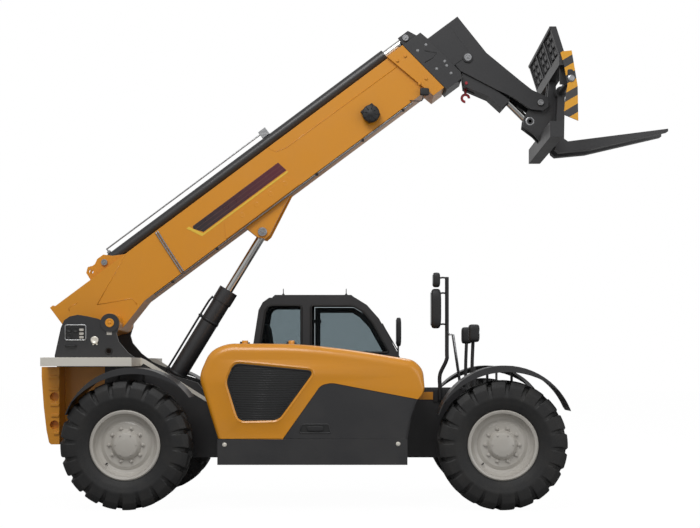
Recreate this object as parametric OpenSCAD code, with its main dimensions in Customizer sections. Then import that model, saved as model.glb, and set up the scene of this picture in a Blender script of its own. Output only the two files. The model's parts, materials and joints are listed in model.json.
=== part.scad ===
// Telescopic handler with a three-section boom, fork carriage, side cab and four steered wheels.
// Millimetres, +Z up, +X to the front, +Y to the left. The ground is Z = 0 and the origin is
// below the middle of the machine's length and width.

/* [Chassis] */
// Distance between the front and rear axles
wheelbase = 3700; // [3600:10:3800]
// Outer faces of the frame plates, from the centre line
frame_y = 430; // [410:5:435]
// Thickness of the frame plates
frame_t = 30; // [20:1:40]
// Rearmost face of the counterweight, behind the rear axle
counterweight_x = -930; // [-960:5:-900]
// Half width of the counterweight
counterweight_y = 695; // [600:5:700]

/* [Wheels] */
// Outside diameter of a tyre over its lugs
tyre_d = 1276; // [1250:2:1290]
// Width of a tyre
tyre_w = 394; // [380:2:400]
// Outside diameter of a rim flange
rim_d = 694; // [680:2:710]
// Distance from the centre line to the middle of a wheel
wheel_y = 1028; // [1020:1:1040]
// Distance from the centre line to a kingpin
kingpin_y = 813; // [805:1:815]
// Pitch circle diameter of the wheel studs
stud_pcd = 335; // [300:5:360]

/* [Boom] */
// Angle of the boom above level as the machine stands
boom_angle = 36.7; // [30:0.1:42]
// Boom pivot ahead of the rear axle
pivot_x = -289; // [-300:1:-280]
// Boom pivot above the ground
pivot_z = 1861; // [1850:1:1880]
// Length of the base section ahead of the pivot, along its underside
base_len = 4242; // [4200:1:4300]
// Depth of the base section
base_h = 515; // [500:1:530]
// Width of the base section
base_w = 410; // [400:2:430]
// Wall of the boom sections
boom_wall = 12; // [8:1:14]

/* [Cylinders] */
// Bore end diameter of the lift cylinder
lift_d = 190; // [170:2:200]
// Rod diameter of the lift cylinder
lift_rod_d = 88; // [80:2:96]
// Distance from the lift cylinder's rod pin to its gland as the machine stands
lift_exposed = 712; // [700:2:730]
// Outside diameter of the extension cylinder
extend_d = 130; // [110:2:140]
// Outside diameter of the tilt cylinder
tilt_d = 130; // [110:2:136]

/* [Cab and hood] */
// Inner wall of the cab, from the centre line
cab_y0 = 352; // [345:1:370]
// Outer wall of the cab, from the centre line
cab_y1 = 1150; // [1100:5:1180]
// Wall of the cab
cab_t = 40; // [30:1:50]
// Outer face of the engine hood, from the centre line
hood_y = 1130; // [1100:5:1160]

/* [Fork carriage] */
// Width over the fork carriage's side plates
carriage_w = 1800; // [1600:10:1850]
// Width of a fork
fork_w = 115; // [100:5:130]
// Distance from the centre line to the middle of a fork
fork_y = 165; // [160:5:400]

/* [Hidden] */
$fn = 64;

paint_yellow = "#D8962A";
paint_dark = "#3B3B3D";
paint_rim = "#B4B1AC";
rubber_black = "#1C1C1D";
steel_bright = "#C9C9C7";
sheet_aluminium = "#C6C4BE";
glass_dark = "#5A646B";
hook_red = "#9E2430";

// The machine is laid out from the rear axle, then moved so that its length is centred on the origin.
axle_z = tyre_d/2;
pin_gap = 0.3;
kingpin_r = 38;
rail_top = 935;
engine_wall_y = frame_y + 12;
hood_low = 695;
// Hinge of the hood: its axis in Y and Z, and where its eyes start
hood_hinge = [-engine_wall_y - 5, 1652];
hood_hinge_x = [1080, 1560];
hinge_eye_r = 16;
hinge_eye_len = 80;
hinge_pin_r = 8;

// Boom coordinates: u along the underside from the pivot, v up from it.
pivot_r = 52;
foot_r = 100;
collar_slant = 0.139;
mid_w = base_w - 2*boom_wall - 26;
inner_w = mid_w - 2*boom_wall - 26;
mid_v = [22, base_h - 22];
inner_v = [46, 438];
collar_v = [-90, 527];
lift_uv = [1825, -155];
tilt_base_uv = [4657, 25];
head_uv = [4989, -814];
neck_y = 150;
neck_inside_y = 106;
hook_pin_r = 16;
extend_axis_v = 592;
extend_pin_u = 292;
extend_lug_u = 4263;

// Lift cylinder: its axis runs from the base pin to the rod pin at this slope.
lift_slope = 58.57;
lift_len = 2293;
lift_pin_r = 34;
lift_eye_r = 52;

// Fork carriage coordinates start at the pivot of the carriage, along X and Z.
tilt_eye = [-105, -186];
tilt_pin_r = 32;
head_pin_r = 34;
fork_shaft = [209, 96];
fork_shaft_r = 36;
plate_y = carriage_w/2;

function boom_point(p) = [pivot_x + p[0]*cos(boom_angle) - p[1]*sin(boom_angle),
    pivot_z + p[0]*sin(boom_angle) + p[1]*cos(boom_angle)];
function slant_u(u0, v) = u0 - collar_slant*v;

// Rearmost and foremost points: the boom's tail and the fork tips
tail_uv = [-440, base_h + 20];
fork_tip = 1329;
rear_axle_x = -(boom_point(tail_uv)[0] + boom_point(head_uv)[0] + fork_tip)/2;

lift_top = boom_point(lift_uv);
lift_base = lift_top - lift_len*[cos(lift_slope), sin(lift_slope)];
head_pivot = boom_point(head_uv);
tilt_base = boom_point(tilt_base_uv);
tilt_top = head_pivot + tilt_eye;
tilt_len = norm(tilt_top - tilt_base);
tilt_slope = atan2(tilt_top[1] - tilt_base[1], tilt_top[0] - tilt_base[0]);

// Moves a shape laid out from the rear axle to its place about the origin
module placed() {
    translate([rear_axle_x, 0, 0]) children();
}

// Moves a shape laid out in boom coordinates to the machine
module on_boom() {
    placed() translate([pivot_x, 0, pivot_z]) rotate([0, -boom_angle, 0]) children();
}

// Moves a shape laid out from the carriage pivot to the machine
module on_carriage() {
    placed() translate([head_pivot[0], 0, head_pivot[1]]) children();
}

// Moves a shape laid out along +X from a pin to a line in the XZ plane
module along(from, slope) {
    placed() translate([from[0], 0, from[1]]) rotate([0, -slope, 0]) children();
}

// Plate with an outline in X and Z, between two values of Y
module slab(outline, y0, y1) {
    translate([0, y1, 0]) rotate([90, 0, 0]) linear_extrude(y1 - y0) polygon(outline);
}

// Round bar across the machine
module bar_y(at, r, y0, y1) {
    translate([at[0], y1, at[1]]) rotate([90, 0, 0]) cylinder(r = r, h = y1 - y0);
}

// Round bar between two points
module bar(from, to, r) {
    d = to - from;
    translate(from) rotate([0, acos(d[2]/norm(d)), atan2(d[1], d[0])]) cylinder(r = r, h = norm(d));
}

// Round bar along the machine, from x, with its axis at [y, z]
module bar_x(x, at, r, len) {
    translate([x, at[0], at[1]]) rotate([0, 90, 0]) cylinder(r = r, h = len);
}

// The same shape on both sides of the centre line
module both_sides() {
    children();
    mirror([0, 1, 0]) children();
}

// Shape on the left side, or its mirror image on the right
module on_side(side) {
    if (side > 0) children();
    else mirror([0, 1, 0]) children();
}

// Chassis

// Frame plate: tower with the boom pivot at the rear, rail to the front
tower_outline = [[-860, 1519], [-795, 1813], [-762, 1887], [-705, 1927], [-623, 1944], [-525, 1930],
    [-410, 1902], [-289, 1850], [-198, 1829], [-222, 1747], [-198, 1666], [-100, 1551], [30, 1454],
    [194, 1388], [357, 1323], [619, 1241], [860, rail_top], [2740, rail_top], [2860, 1180], [3940, 1180],
    [4010, 1110], [4010, 860], [3960, 790], [3440, 790], [3300, 470], [420, 470], [300, 790],
    [-340, 790], [-340, 1406], [-835, 1406]];

module frame_plate() {
    slab(tower_outline, frame_y - frame_t, frame_y);
    bar_y([pivot_x, pivot_z], 96, frame_y - frame_t, frame_y + 14);
}

module chassis_frame() color(paint_dark) placed() difference() {
    union() {
        both_sides() frame_plate();
        // Cross members between the frame plates
        for (x = [520, 1500, 2500, 3240]) translate([x, -frame_y + 5, 475]) cube([110, 2*frame_y - 10, 300]);
        translate([3890, -frame_y + 5, 840]) cube([100, 2*frame_y - 10, 300]);
        translate([-330, -frame_y + 5, 1180]) cube([60, 2*frame_y - 10, 180]);
        // Belly plate
        translate([480, -frame_y + 5, 470]) cube([2840, 2*frame_y - 10, 12]);
        // Boom pivot stubs, and the base pin of the lift cylinder in its two brackets
        both_sides() bar_y([pivot_x, pivot_z], pivot_r - pin_gap, 250, frame_y);
        bar_y(lift_base, lift_pin_r, -frame_y + 5, frame_y - 5);
        both_sides() translate([lift_base[0] - 70, 130, 800]) cube([140, frame_y - 140, 140]);
    }
    // Hose opening low in each side of the tower
    both_sides() bar_y([-300, 1570], 34, frame_y - frame_t - 5, frame_y + 5);
}

counterweight_outline = [[counterweight_x, 1406], [counterweight_x, 1310], [counterweight_x + 22, 1000],
    [counterweight_x + 50, 760], [counterweight_x + 75, 640], [counterweight_x + 95, 620], [-750, 620],
    [-750, 1406]];

module counterweight() color(paint_yellow) placed() difference() {
    union() {
        slab(counterweight_outline, -counterweight_y, counterweight_y);
        translate([-751, -frame_y, 800]) cube([411, 2*frame_y, 606]);
    }
    // Round pockets in both flanks
    for (z = [817, 1102]) both_sides() bar_y([-800, z], 46, counterweight_y - 60, counterweight_y + 5);
}

module deck(side) color(sheet_aluminium) placed() on_side(side) {
    difference() {
        translate([-871, frame_y, 1413]) cube([905, 570, 86]);
        translate([-866, frame_y + 5, 1408]) cube([895, 560, 83]);
    }
    // Strip that runs down beside the frame
    slab([[29, 1413], [34, 1499], [80, 1480], [754, 1058], [754, 1019], [60, 1440]], frame_y, frame_y + 12);
}

module deck_right() deck(-1);
module deck_left() deck(1);

// Axle beam with a yoke at each end that holds the kingpins
module axle(x) color(paint_dark) placed() translate([x, 0, axle_z]) difference() {
    union() {
        bar_y([0, 0], 92, -700, 700);
        bar_y([0, 0], 145, -150, 150);
        translate([0, 0, -20]) sphere(r = 150);
        both_sides() {
            // Yoke round the kingpin
            translate([-70, 640, -150]) cube([140, 60, 300]);
            for (z = [-150, 114]) {
                translate([-60, 660, z]) cube([120, kingpin_y - 660, 36]);
                translate([0, kingpin_y, z]) cylinder(r = 60, h = 36);
            }
            // Spring seat that carries the frame
            translate([-110, frame_y - frame_t, 80]) cube([220, frame_t, 72]);
        }
    }
    both_sides() translate([0, kingpin_y, -200]) cylinder(r = kingpin_r + pin_gap, h = 400);
}

module front_axle() axle(wheelbase);
module rear_axle() axle(0);

module engine_block() color("#4A4C4E") placed()
    translate([1020, -1000, 500]) cube([1250, 1000 - engine_wall_y, 820]);

// Wall between the engine and the boom, under the inner edge of the hood, with the pins of the hood's hinges
module engine_wall() color(paint_dark) placed() {
    slab([[960, 880], [960, 1590], [1706, 1590], [2231, 1530], [2700, 1450], [2700, 880]], -engine_wall_y, -frame_y);
    for (x = hood_hinge_x) {
        translate([x - 22, hood_hinge[0] - 14, 1580]) cube([20, 31, hood_hinge[1] + 14 - 1580]);
        bar_x(x - 20, hood_hinge, hinge_pin_r, hinge_eye_len + 20);
    }
}

module side_skirt() color(paint_dark) placed() difference() {
    translate([899, -hood_y, 444]) cube([1867, hood_y - frame_y, hood_low - pin_gap - 444]);
    translate([907, -hood_y + 8, 452]) cube([1851, hood_y - frame_y + 8, 246]);
    translate([990, -1030, 440]) cube([1340, 600, 30]);
}

module step_tank() color(paint_dark) placed() {
    translate([1150, frame_y, 480]) cube([1500, 660, 440]);
    // Two steps below the door
    for (z = [330, 520]) translate([1850, frame_y + 400, z]) cube([560, 290, 24]);
    for (x = [1850, 2386]) translate([x, frame_y + 640, 330]) cube([24, 50, 400]);
}

// Cab

cab_outline = [[1124, rail_top], [1124, 1640], [1184, 2025], [1230, 2110], [1300, 2160], [2240, 2160],
    [2368, 2080], [2499, 1932], [2710, 1549], [2710, rail_top]];
cab_inside = [[1164, 985], [1164, 1637], [1222, 2010], [1262, 2085], [1312, 2120], [2228, 2120],
    [2338, 2052], [2466, 1908], [2670, 1540], [2670, 985]];
// Windows: rear quarter, front quarter, and the door's opening
rear_quarter = [[1200, 1560], [1200, 1630], [1255, 1985], [1310, 2075], [1653, 2075], [1653, 1560]];
front_quarter = [[1757, 1560], [1757, 2075], [2215, 2075], [2310, 2015], [2430, 1880], [2610, 1560]];
door_opening = [[1765, 1010], [1765, 2090], [2220, 2090], [2325, 2025], [2450, 1890], [2640, 1548], [2640, 1010]];
cab_mid_y = (cab_y0 + cab_y1)/2;
hinge_out = 18;
door_hinge = [1752, cab_y1 + hinge_out];
strap_half = 11;
hinge_z = [1220, 1880];

module cab_shell() color(paint_dark) placed() {
    cab_walls();
    // Door hinges: a lug on the post and a pin that stands up from it
    for (z = hinge_z) {
        translate([door_hinge[0] - 30, cab_y1, z]) cube([42, hinge_out + strap_half, 25]);
        translate([door_hinge[0], door_hinge[1], z]) cylinder(r = hinge_pin_r, h = 70);
    }
}

module cab_walls() difference() {
    slab(cab_outline, cab_y0, cab_y1);
    slab(cab_inside, cab_y0 + cab_t, cab_y1 - cab_t);
    slab(rear_quarter, cab_y0 - 5, cab_y1 + 5);
    slab(front_quarter, cab_y0 - 5, cab_y0 + cab_t + 5);
    slab(door_opening, cab_y1 - cab_t - 5, cab_y1 + 5);
    // Rear window and windscreen
    translate([1100, cab_y0 + 60, 1560]) cube([190, cab_y1 - cab_y0 - 120, 480]);
    slab([[2330, 2030], [2440, 2090], [2800, 1480], [2600, 1480]], cab_y0 + 60, cab_y1 - 60);
}

module cab_roof() color(paint_dark) placed()
    slab([[1330, 2160], [1362, 2191], [2196, 2191], [2236, 2160]], cab_y0 + 10, cab_y1 - 10);

module cab_glass() color(glass_dark) placed() {
    for (y = [cab_y0 + 12, cab_y1 - 18]) slab(rear_quarter, y, y + 6);
    slab(front_quarter, cab_y0 + 12, cab_y0 + 18);
    slab([[1137, 1560], [1137, 1639], [1198, 2040], [1204, 2040], [1143, 1638], [1143, 1560]],
        cab_y0 + 60, cab_y1 - 60);
    slab([[2476, 1940], [2481, 1944], [2692, 1556], [2686, 1553]], cab_y0 + 60, cab_y1 - 60);
}

module cab_seat() color("#2B2C2E") placed() translate([1330, cab_mid_y - 240, 985]) {
    cube([420, 480, 300]);
    translate([0, 0, 295]) cube([480, 480, 110]);
    translate([-60, 20, 380]) rotate([0, -8, 0]) cube([110, 440, 520]);
}

module cab_column() color("#2B2C2E") placed() {
    translate([2420, cab_mid_y - 60, 985]) cube([110, 120, 50]);
    bar([2465, cab_mid_y, 1010], [2210, cab_mid_y, 1480], 40);
    translate([2210, cab_mid_y, 1480]) rotate([0, -30, 0]) rotate_extrude() translate([175, 0]) circle(r = 16);
    translate([2210, cab_mid_y, 1480]) rotate([0, -30, 0]) for (a = [0, 120, 240]) rotate([0, 0, a])
        translate([0, -14, -8]) cube([172, 28, 16]);
}

module cab_mirror() color("#242426") placed() {
    translate([2710, cab_y1 - 60, 1470]) cube([30, 40, 60]);
    translate([2725, cab_y1 - 40, 1500]) cylinder(r = 10, h = 200);
    translate([2708, cab_y1 - 65, 1640]) cube([50, 130, 330]);
}

module cab_door() color(paint_dark) placed() {
    door_frame();
    for (z = hinge_z) difference() {
        translate([door_hinge[0] - strap_half, door_hinge[1] - strap_half, z + 26]) cube([100, 2*strap_half, 40]);
        translate([door_hinge[0], door_hinge[1], z]) cylinder(r = hinge_pin_r + pin_gap, h = 100);
    }
    for (z = hinge_z) translate([door_hinge[0] + 40, cab_y1 - 1, z + 26]) cube([49, hinge_out - strap_half + 2, 40]);
}

module door_frame() difference() {
    slab([[1772, 1017], [1772, 2083], [2217, 2083], [2320, 2020], [2444, 1887], [2633, 1546], [2633, 1017]],
        cab_y1 - cab_t + 4, cab_y1);
    slab([[1832, 1090], [1832, 2023], [2200, 2023], [2280, 1974], [2394, 1852], [2573, 1530], [2573, 1090]],
        cab_y1 - cab_t - 5, cab_y1 + 5);
}

module door_glass() color(glass_dark) placed()
    slab([[1832, 1090], [1832, 2023], [2200, 2023], [2280, 1974], [2394, 1852], [2573, 1530], [2573, 1090]],
        cab_y1 - 24, cab_y1 - 18);

// Lamp and mirror posts on the front of the frame

post_r = 20;
mirror_route = [[3120, -frame_y - 28, 1052], [3120, -frame_y - 28, 1330], [3190, -frame_y - 60, 1480],
    [3190, -frame_y - 60, 2330]];

module mirror_post() color("#242426") placed() {
    translate([3050, -frame_y - 15, 1040]) cube([130, 15, 130]);
    for (i = [1:len(mirror_route) - 1]) bar(mirror_route[i - 1], mirror_route[i], post_r);
    for (i = [1:len(mirror_route) - 2]) translate(mirror_route[i]) sphere(r = post_r + 2);
    translate([3085, -frame_y - 200, 1800]) cube([105, 190, 400]);
    translate([3095, -frame_y - 180, 2220]) cube([95, 150, 150]);
}

module lamp_post(side) color("#242426") placed() on_side(side) {
    translate([3410, frame_y, 1080]) cube([90, 50, 90]);
    translate([3455, frame_y + 25, 1140]) cylinder(r = 18, h = 560);
    translate([3415, frame_y - 5, 1660]) cube([110, 170, 180]);
}

module lamp_post_right() lamp_post(-1);
module lamp_post_left() lamp_post(1);

// Engine hood on the right side

hood_outline = [[902, hood_low], [707, 1312], [815, 1560], [984, 1638], [1706, 1633], [2231, 1573], [2830, 1476],
    [2923, 1378], [2938, 1168], [2863, 1085], [2800, 927], [2757, hood_low]];
hood_inside = [[925, hood_low - 5], [732, 1310], [832, 1545], [988, 1616], [1705, 1611], [2228, 1551], [2818, 1456],
    [2902, 1368], [2915, 1175], [2841, 1095], [2779, 930], [2733, hood_low - 5]];
grille_outline = [[1067, 1438], [1841, 1363], [1496, 890], [1112, 882], [992, 1265]];
panel_outline = [[2850, 1092], [2021, 1250], [1916, 1228], [1545, hood_low + 5], [2750, hood_low + 5], [2790, 927]];

module hood_shell() color(paint_yellow) placed() difference() {
    union() {
        hood_walls();
        // Eyes of the hinges
        for (x = hood_hinge_x) {
            bar_x(x, hood_hinge, hinge_eye_r, hinge_eye_len);
            translate([x, hood_hinge[0] - 60, hood_hinge[1] - 36]) cube([hinge_eye_len, 60, 30]);
        }
    }
    for (x = hood_hinge_x) bar_x(x - 5, hood_hinge, hinge_pin_r + pin_gap, hinge_eye_len + 10);
    // Notches for the lugs that hold the hinge pins
    for (x = hood_hinge_x) translate([x - 28, hood_hinge[0] - 20, 1500]) cube([28, 30, 200]);
}

module hood_walls() difference() {
    slab(hood_outline, -hood_y, -engine_wall_y - 5);
    slab(hood_inside, -hood_y + 22, -frame_y);
    slab(grille_outline, -hood_y - 5, -hood_y + 30);
    slab(panel_outline, -hood_y - 5, -hood_y + 30);
}

module hood_panel() color(paint_dark) placed() slab(panel_outline, -hood_y + 4, -hood_y + 18);

module hood_grille() color("#222426") placed() slab(grille_outline, -hood_y + 8, -hood_y + 16);

// Wheels and steering

function wheel_x(name) = name[0] == "f" ? wheelbase : 0;
function wheel_side(name) = name[1] == "l" ? 1 : -1;

// Moves a wheel modelled about the origin, with its outer face to +Y, to its place
module at_wheel(name) {
    placed() on_side(wheel_side(name)) translate([wheel_x(name), wheel_y, axle_z]) children();
}

// Solid of revolution about the Y axis, from an outline of radius and y
module turned_y(outline) {
    rotate([-90, 0, 0]) rotate_extrude() polygon([for (p = outline) [p[0], p[1]]]);
}

module tyre(name) color(rubber_black) at_wheel(name) {
    r = tyre_d/2;
    w = tyre_w/2;
    turned_y([[rim_d/2 - 20.6, -w + 64.4], [rim_d/2 + 1.5, -w + 47.6], [rim_d/2 + 14, -w + 35],
        [rim_d/2 + 120, -w], [r - 70, -w + 8],
        [r - 12, -w + 40], [r, -w + 70], [r, w - 70], [r - 12, w - 40], [r - 70, w - 8], [rim_d/2 + 120, w],
        [rim_d/2 + 14, w - 35], [rim_d/2 + 1.5, w - 47.6], [rim_d/2 - 20.6, w - 64.4]]);
}

module tyre_fl() tyre("fl");
module tyre_fr() tyre("fr");
module tyre_rl() tyre("rl");
module tyre_rr() tyre("rr");

hub_bore_r = 72;
module rim(name) color(paint_rim) at_wheel(name) difference() {
    w = tyre_w/2 - 60;
    turned_y([[rim_d/2, -w - 12], [rim_d/2 - 21, -w + 4], [rim_d/2 - 21, w - 4], [rim_d/2, w + 12],
        [rim_d/2 - 12, w + 22], [rim_d/2 - 34, w + 14], [rim_d/2 - 46, w - 40], [rim_d/2 - 70, 66],
        [250, 58], [215, 74], [150, 74], [128, 108], [118, 118], [hub_bore_r, 118],
        [hub_bore_r, 10], [190, 10], [200, 38], [rim_d/2 - 66, 40], [rim_d/2 - 44, 10],
        [rim_d/2 - 36, -w - 10], [rim_d/2 - 12, -w - 22]]);
    for (a = [0:36:324]) rotate([0, a, 0]) translate([stud_pcd/2, 60, 0]) rotate([-90, 0, 0])
        cylinder(r = 11, h = 30);
}

module rim_fl() rim("fl");
module rim_fr() rim("fr");
module rim_rl() rim("rl");
module rim_rr() rim("rr");

// Outer arc of a fender and the arc of its lip are [x, z, radius] from the wheel's centre.
fender_t = 8;
fender_low = 300;
rear_fender_front_low = 470;
front_arc = [18, 98, 684];
front_lip = [37, -61, 778];
rear_arc = [72, 75, 686];
rear_lip = [94, -102, 800];
function fender_arc(name) = name[0] == "f" ? front_arc : rear_arc;

// Steering knuckle between the yoke's cheeks, with the wheel spindle and the fender's arms
module knuckle(name) color(paint_dark) at_wheel(name) translate([0, kingpin_y - wheel_y, 0]) {
    translate([0, 0, -114 + pin_gap]) cylinder(r = 62, h = 228 - 2*pin_gap);
    translate([0, 0, -160]) cylinder(r = kingpin_r, h = 320);
    bar_y([0, 0], 58, 40, 150);
    bar_y([0, 0], hub_bore_r - pin_gap, 140, 215 + 110);
    // Arms that rise inside the wheel to the fender
    intersection() {
        for (x = [-135, 110]) translate([x, -18, -30]) cube([25, 16, 900]);
        bar_y([fender_arc(name)[0], fender_arc(name)[1]], fender_arc(name)[2] - fender_t - pin_gap, -20, 0);
    }
    translate([-135, -18, -30]) cube([270, 16, 60]);
}

module knuckle_fl() knuckle("fl");
module knuckle_fr() knuckle("fr");
module knuckle_rl() knuckle("rl");
module knuckle_rr() knuckle("rr");

// Fender: arc of sheet over the wheel with a crescent lip on its outer edge
module fender(name) color(paint_dark) at_wheel(name) {
    outer = fender_arc(name);
    lip = name[0] == "f" ? front_lip : rear_lip;
    translate([0, tyre_w/2, 0]) rotate([90, 0, 0]) linear_extrude(fender_t) difference() {
        translate([outer[0], outer[1]]) circle(r = outer[2]);
        translate([lip[0], lip[1]]) circle(r = lip[2]);
        translate([-1500, -3000]) square([3000, 3000 + fender_low]);
        if (name[0] == "r") translate([0, -3000]) square([1500, 3000 + rear_fender_front_low]);
    }
    translate([0, tyre_w/2, 0]) rotate([90, 0, 0]) linear_extrude(tyre_w + 36) difference() {
        translate([outer[0], outer[1]]) circle(r = outer[2]);
        translate([outer[0], outer[1]]) circle(r = outer[2] - fender_t);
        translate([lip[0], lip[1]]) circle(r = lip[2] - 40);
        translate([-1500, -3000]) square([3000, 3000 + fender_low]);
        if (name[0] == "r") translate([0, -3000]) square([1500, 3000 + rear_fender_front_low]);
    }
}

module fender_fl() fender("fl");
module fender_fr() fender("fr");
module fender_rl() fender("rl");
module fender_rr() fender("rr");

// Boom

// Wear pads of a section, on its floor and its roof, each between two values of v
module pads(u, len, w, low, high) {
    for (span = [low, high]) translate([u, -w/2, span[0]]) cube([len, w, span[1] - span[0]]);
}

base_inside = [boom_wall, base_h - boom_wall];
mid_inside = [mid_v[0] + boom_wall, mid_v[1] - boom_wall];
pad_len = 200;

module boom_base() color(paint_yellow) on_boom() {
    difference() {
        union() {
            slab([[tail_uv[0], 0], tail_uv, [tail_uv[0] + 40, tail_uv[1]], [tail_uv[0] + 40, base_h],
                [slant_u(base_len, base_h), base_h], [base_len, 0]], -base_w/2, base_w/2);
            // Front collar
            slab([[slant_u(base_len - 200, collar_v[1]), collar_v[1]], [slant_u(base_len, collar_v[1]), collar_v[1]],
                [slant_u(base_len, collar_v[0]), collar_v[0]], [slant_u(base_len - 140, collar_v[0]), collar_v[0]]],
                -base_w/2 - 35, base_w/2 + 35);
            // Foot round the pivot
            slab([[-300, 5], [-100, -foot_r + 20], [0, -foot_r], [100, -foot_r + 20], [420, 5]],
                -base_w/2, base_w/2);
            bar_y([0, 0], foot_r, -frame_y + frame_t + 8, frame_y - frame_t - 8);
            // Bracket of the lift cylinder, with a pin stub on each plate
            both_sides() slab([[lift_uv[0] - 120, 5], [lift_uv[0] - 75, lift_uv[1] - 10],
                [lift_uv[0] - 20, lift_uv[1] - 75], [lift_uv[0] + 40, lift_uv[1] - 70], [2331, 5]], 116, 144);
            both_sides() bar_y(lift_uv, lift_pin_r, 112, 158);
            // Lugs of the extension cylinder and the lifting lug
            both_sides() slab([[60, base_h - 5], [70, 620], [120, 660], [170, 640], [200, 640], [250, 668],
                [330, 668], [400, 600], [560, base_h - 5]], 70, 92);
            bar_y([extend_pin_u, extend_axis_v], 30, -104, 104);
        }
        // Hollow for the inner sections
        translate([-380, -base_w/2 + boom_wall, base_inside[0]])
            cube([base_len + 1000, base_w - 2*boom_wall, base_inside[1] - base_inside[0]]);
        // Bores: boom pivot and lifting lug
        bar_y([0, 0], pivot_r, -frame_y, frame_y);
        bar_y([120, 600], 24, -120, 120);
    }
    pads(base_len - 340, pad_len, mid_w, [base_inside[0], mid_v[0] - pin_gap], [mid_v[1] + pin_gap, base_inside[1]]);
}

module extend_barrel() color(paint_dark) on_boom() difference() {
    union() {
        translate([extend_pin_u, 0, extend_axis_v]) rotate([0, 90, 0]) cylinder(r = extend_d/2, h = 3990 - extend_pin_u);
        bar_y([extend_pin_u, extend_axis_v], 62, -66, 66);
    }
    translate([560, 0, extend_axis_v]) rotate([0, 90, 0]) cylinder(r = 50, h = 3350);
    translate([560, 0, extend_axis_v]) rotate([0, 90, 0]) cylinder(r = 44 + pin_gap, h = 4000);
    bar_y([extend_pin_u, extend_axis_v], 30 + pin_gap, -100, 100);
}

module boom_pipes() color("#8F9092") on_boom() {
    for (y = [-186, -164]) bar([520, y, -9 - pin_gap], [3900, y, -9 - pin_gap], 9);
    bar([386, 0, extend_axis_v + extend_d/2 + 10], [386, 0, 709], 8);
    translate([386, 0, 709]) sphere(r = 8);
    bar([386, 0, 709], [2444, 0, 709], 8);
    translate([366, -20, extend_axis_v + extend_d/2 + pin_gap]) cube([40, 40, 22]);
    translate([2420, -30, extend_axis_v + extend_d/2 + pin_gap]) cube([90, 60, 80]);
}

module length_reel() color("#1F1F20") on_boom() {
    translate([3400, -base_w/2 - 60, 80]) cube([150, 60, 150]);
    bar_y([3470, 141], 90, -base_w/2 - 110, -base_w/2 - 55);
}

module boom_mid() color(paint_dark) on_boom() {
    difference() {
        union() {
            translate([300, -mid_w/2, mid_v[0]]) cube([4000, mid_w, mid_v[1] - mid_v[0]]);
            // Front collar
            slab([[slant_u(4252, collar_v[1]), collar_v[1]], [slant_u(4478, collar_v[1]), collar_v[1]],
                [slant_u(4490, 420), 420], [slant_u(4490, -56), -56], [slant_u(4450, -120), -120],
                [slant_u(4252, -120), -120]], -base_w/2, base_w/2);
            // Lug of the extension cylinder's rod
            both_sides() slab([[4200, 515], [4200, 640], [4330, 640], [4390, 515]], 70, 92);
            bar_y([extend_lug_u, extend_axis_v], 28, -104, 104);
        }
        translate([200, -mid_w/2 + boom_wall, mid_inside[0]])
            cube([5000, mid_w - 2*boom_wall, mid_inside[1] - mid_inside[0]]);
    }
    // Pads at the tail run in the base section, and pads at the mouth carry the inner section
    pads(300, pad_len, mid_w, [base_inside[0] + pin_gap, mid_v[0]], [mid_v[1], base_inside[1] - pin_gap]);
    pads(4200, pad_len, inner_w, [mid_inside[0], inner_v[0] - pin_gap], [inner_v[1] + pin_gap, mid_inside[1]]);
}

module extend_rod() color(steel_bright) on_boom() difference() {
    union() {
        translate([620, 0, extend_axis_v]) rotate([0, 90, 0]) cylinder(r = 44, h = extend_lug_u - 620);
        bar_y([extend_lug_u, extend_axis_v], 50, -66, 66);
    }
    bar_y([extend_lug_u, extend_axis_v], 28 + pin_gap, -100, 100);
}

// Gooseneck: the end of the inner section bends down to the carriage pivot
neck_outline = [[4505, inner_v[0]], [4492, inner_v[1]], [4829, inner_v[1]], [4846, -52], [4960, -512], [4998, -653],
    [5068, -780], [5072, -850], [5030, -896], [4960, -898], [4866, -809], [4782, -579], [4695, -419], [4563, -144],
    [4512, -42]];
neck_hollow = [[4545, 20], [4590, 180], [4770, 180], [4822, -60], [4932, -518], [4966, -645], [5200, -700],
    [5200, -1000], [4700, -1000], [4640, -618], [4606, -436], [4472, -192], [4540, -70]];
guard_outline = [[4520, -60], [4485, -128], [4450, -190], [4590, -430], [4627, -622], [4751, -595], [4695, -419],
    [4563, -144], [4540, -60]];
hook_uv = [4488, -178];

module boom_inner() color(paint_dark) on_boom() {
    difference() {
        union() {
            translate([500, -inner_w/2, inner_v[0]]) cube([4200, inner_w, inner_v[1] - inner_v[0]]);
            slab(neck_outline, -neck_y, neck_y);
            // Guard below the tilt cylinder
            slab(guard_outline, -neck_inside_y - 19, neck_inside_y + 19);
            // Bosses of the tilt cylinder's base pin
            both_sides() bar_y(tilt_base_uv, 52, neck_inside_y, neck_y + 18);
        }
        translate([400, -inner_w/2 + boom_wall, inner_v[0] + boom_wall])
            cube([4050, inner_w - 2*boom_wall, inner_v[1] - inner_v[0] - 2*boom_wall]);
        slab(neck_hollow, -neck_inside_y, neck_inside_y);
        bar_y(head_uv, head_pin_r + pin_gap, -neck_y - 50, neck_y + 50);
        bar_y(hook_uv, hook_pin_r + pin_gap, -neck_y, neck_y);
        // Slot that the hook hangs through
        slab([[4400, -120], [4520, -120], [4520, -330], [4400, -330]], -32, 32);
    }
    bar_y(tilt_base_uv, tilt_pin_r, -neck_y, neck_y);
    pads(500, pad_len, inner_w, [mid_inside[0] + pin_gap, inner_v[0]], [inner_v[1], mid_inside[1] - pin_gap]);
}

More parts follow.
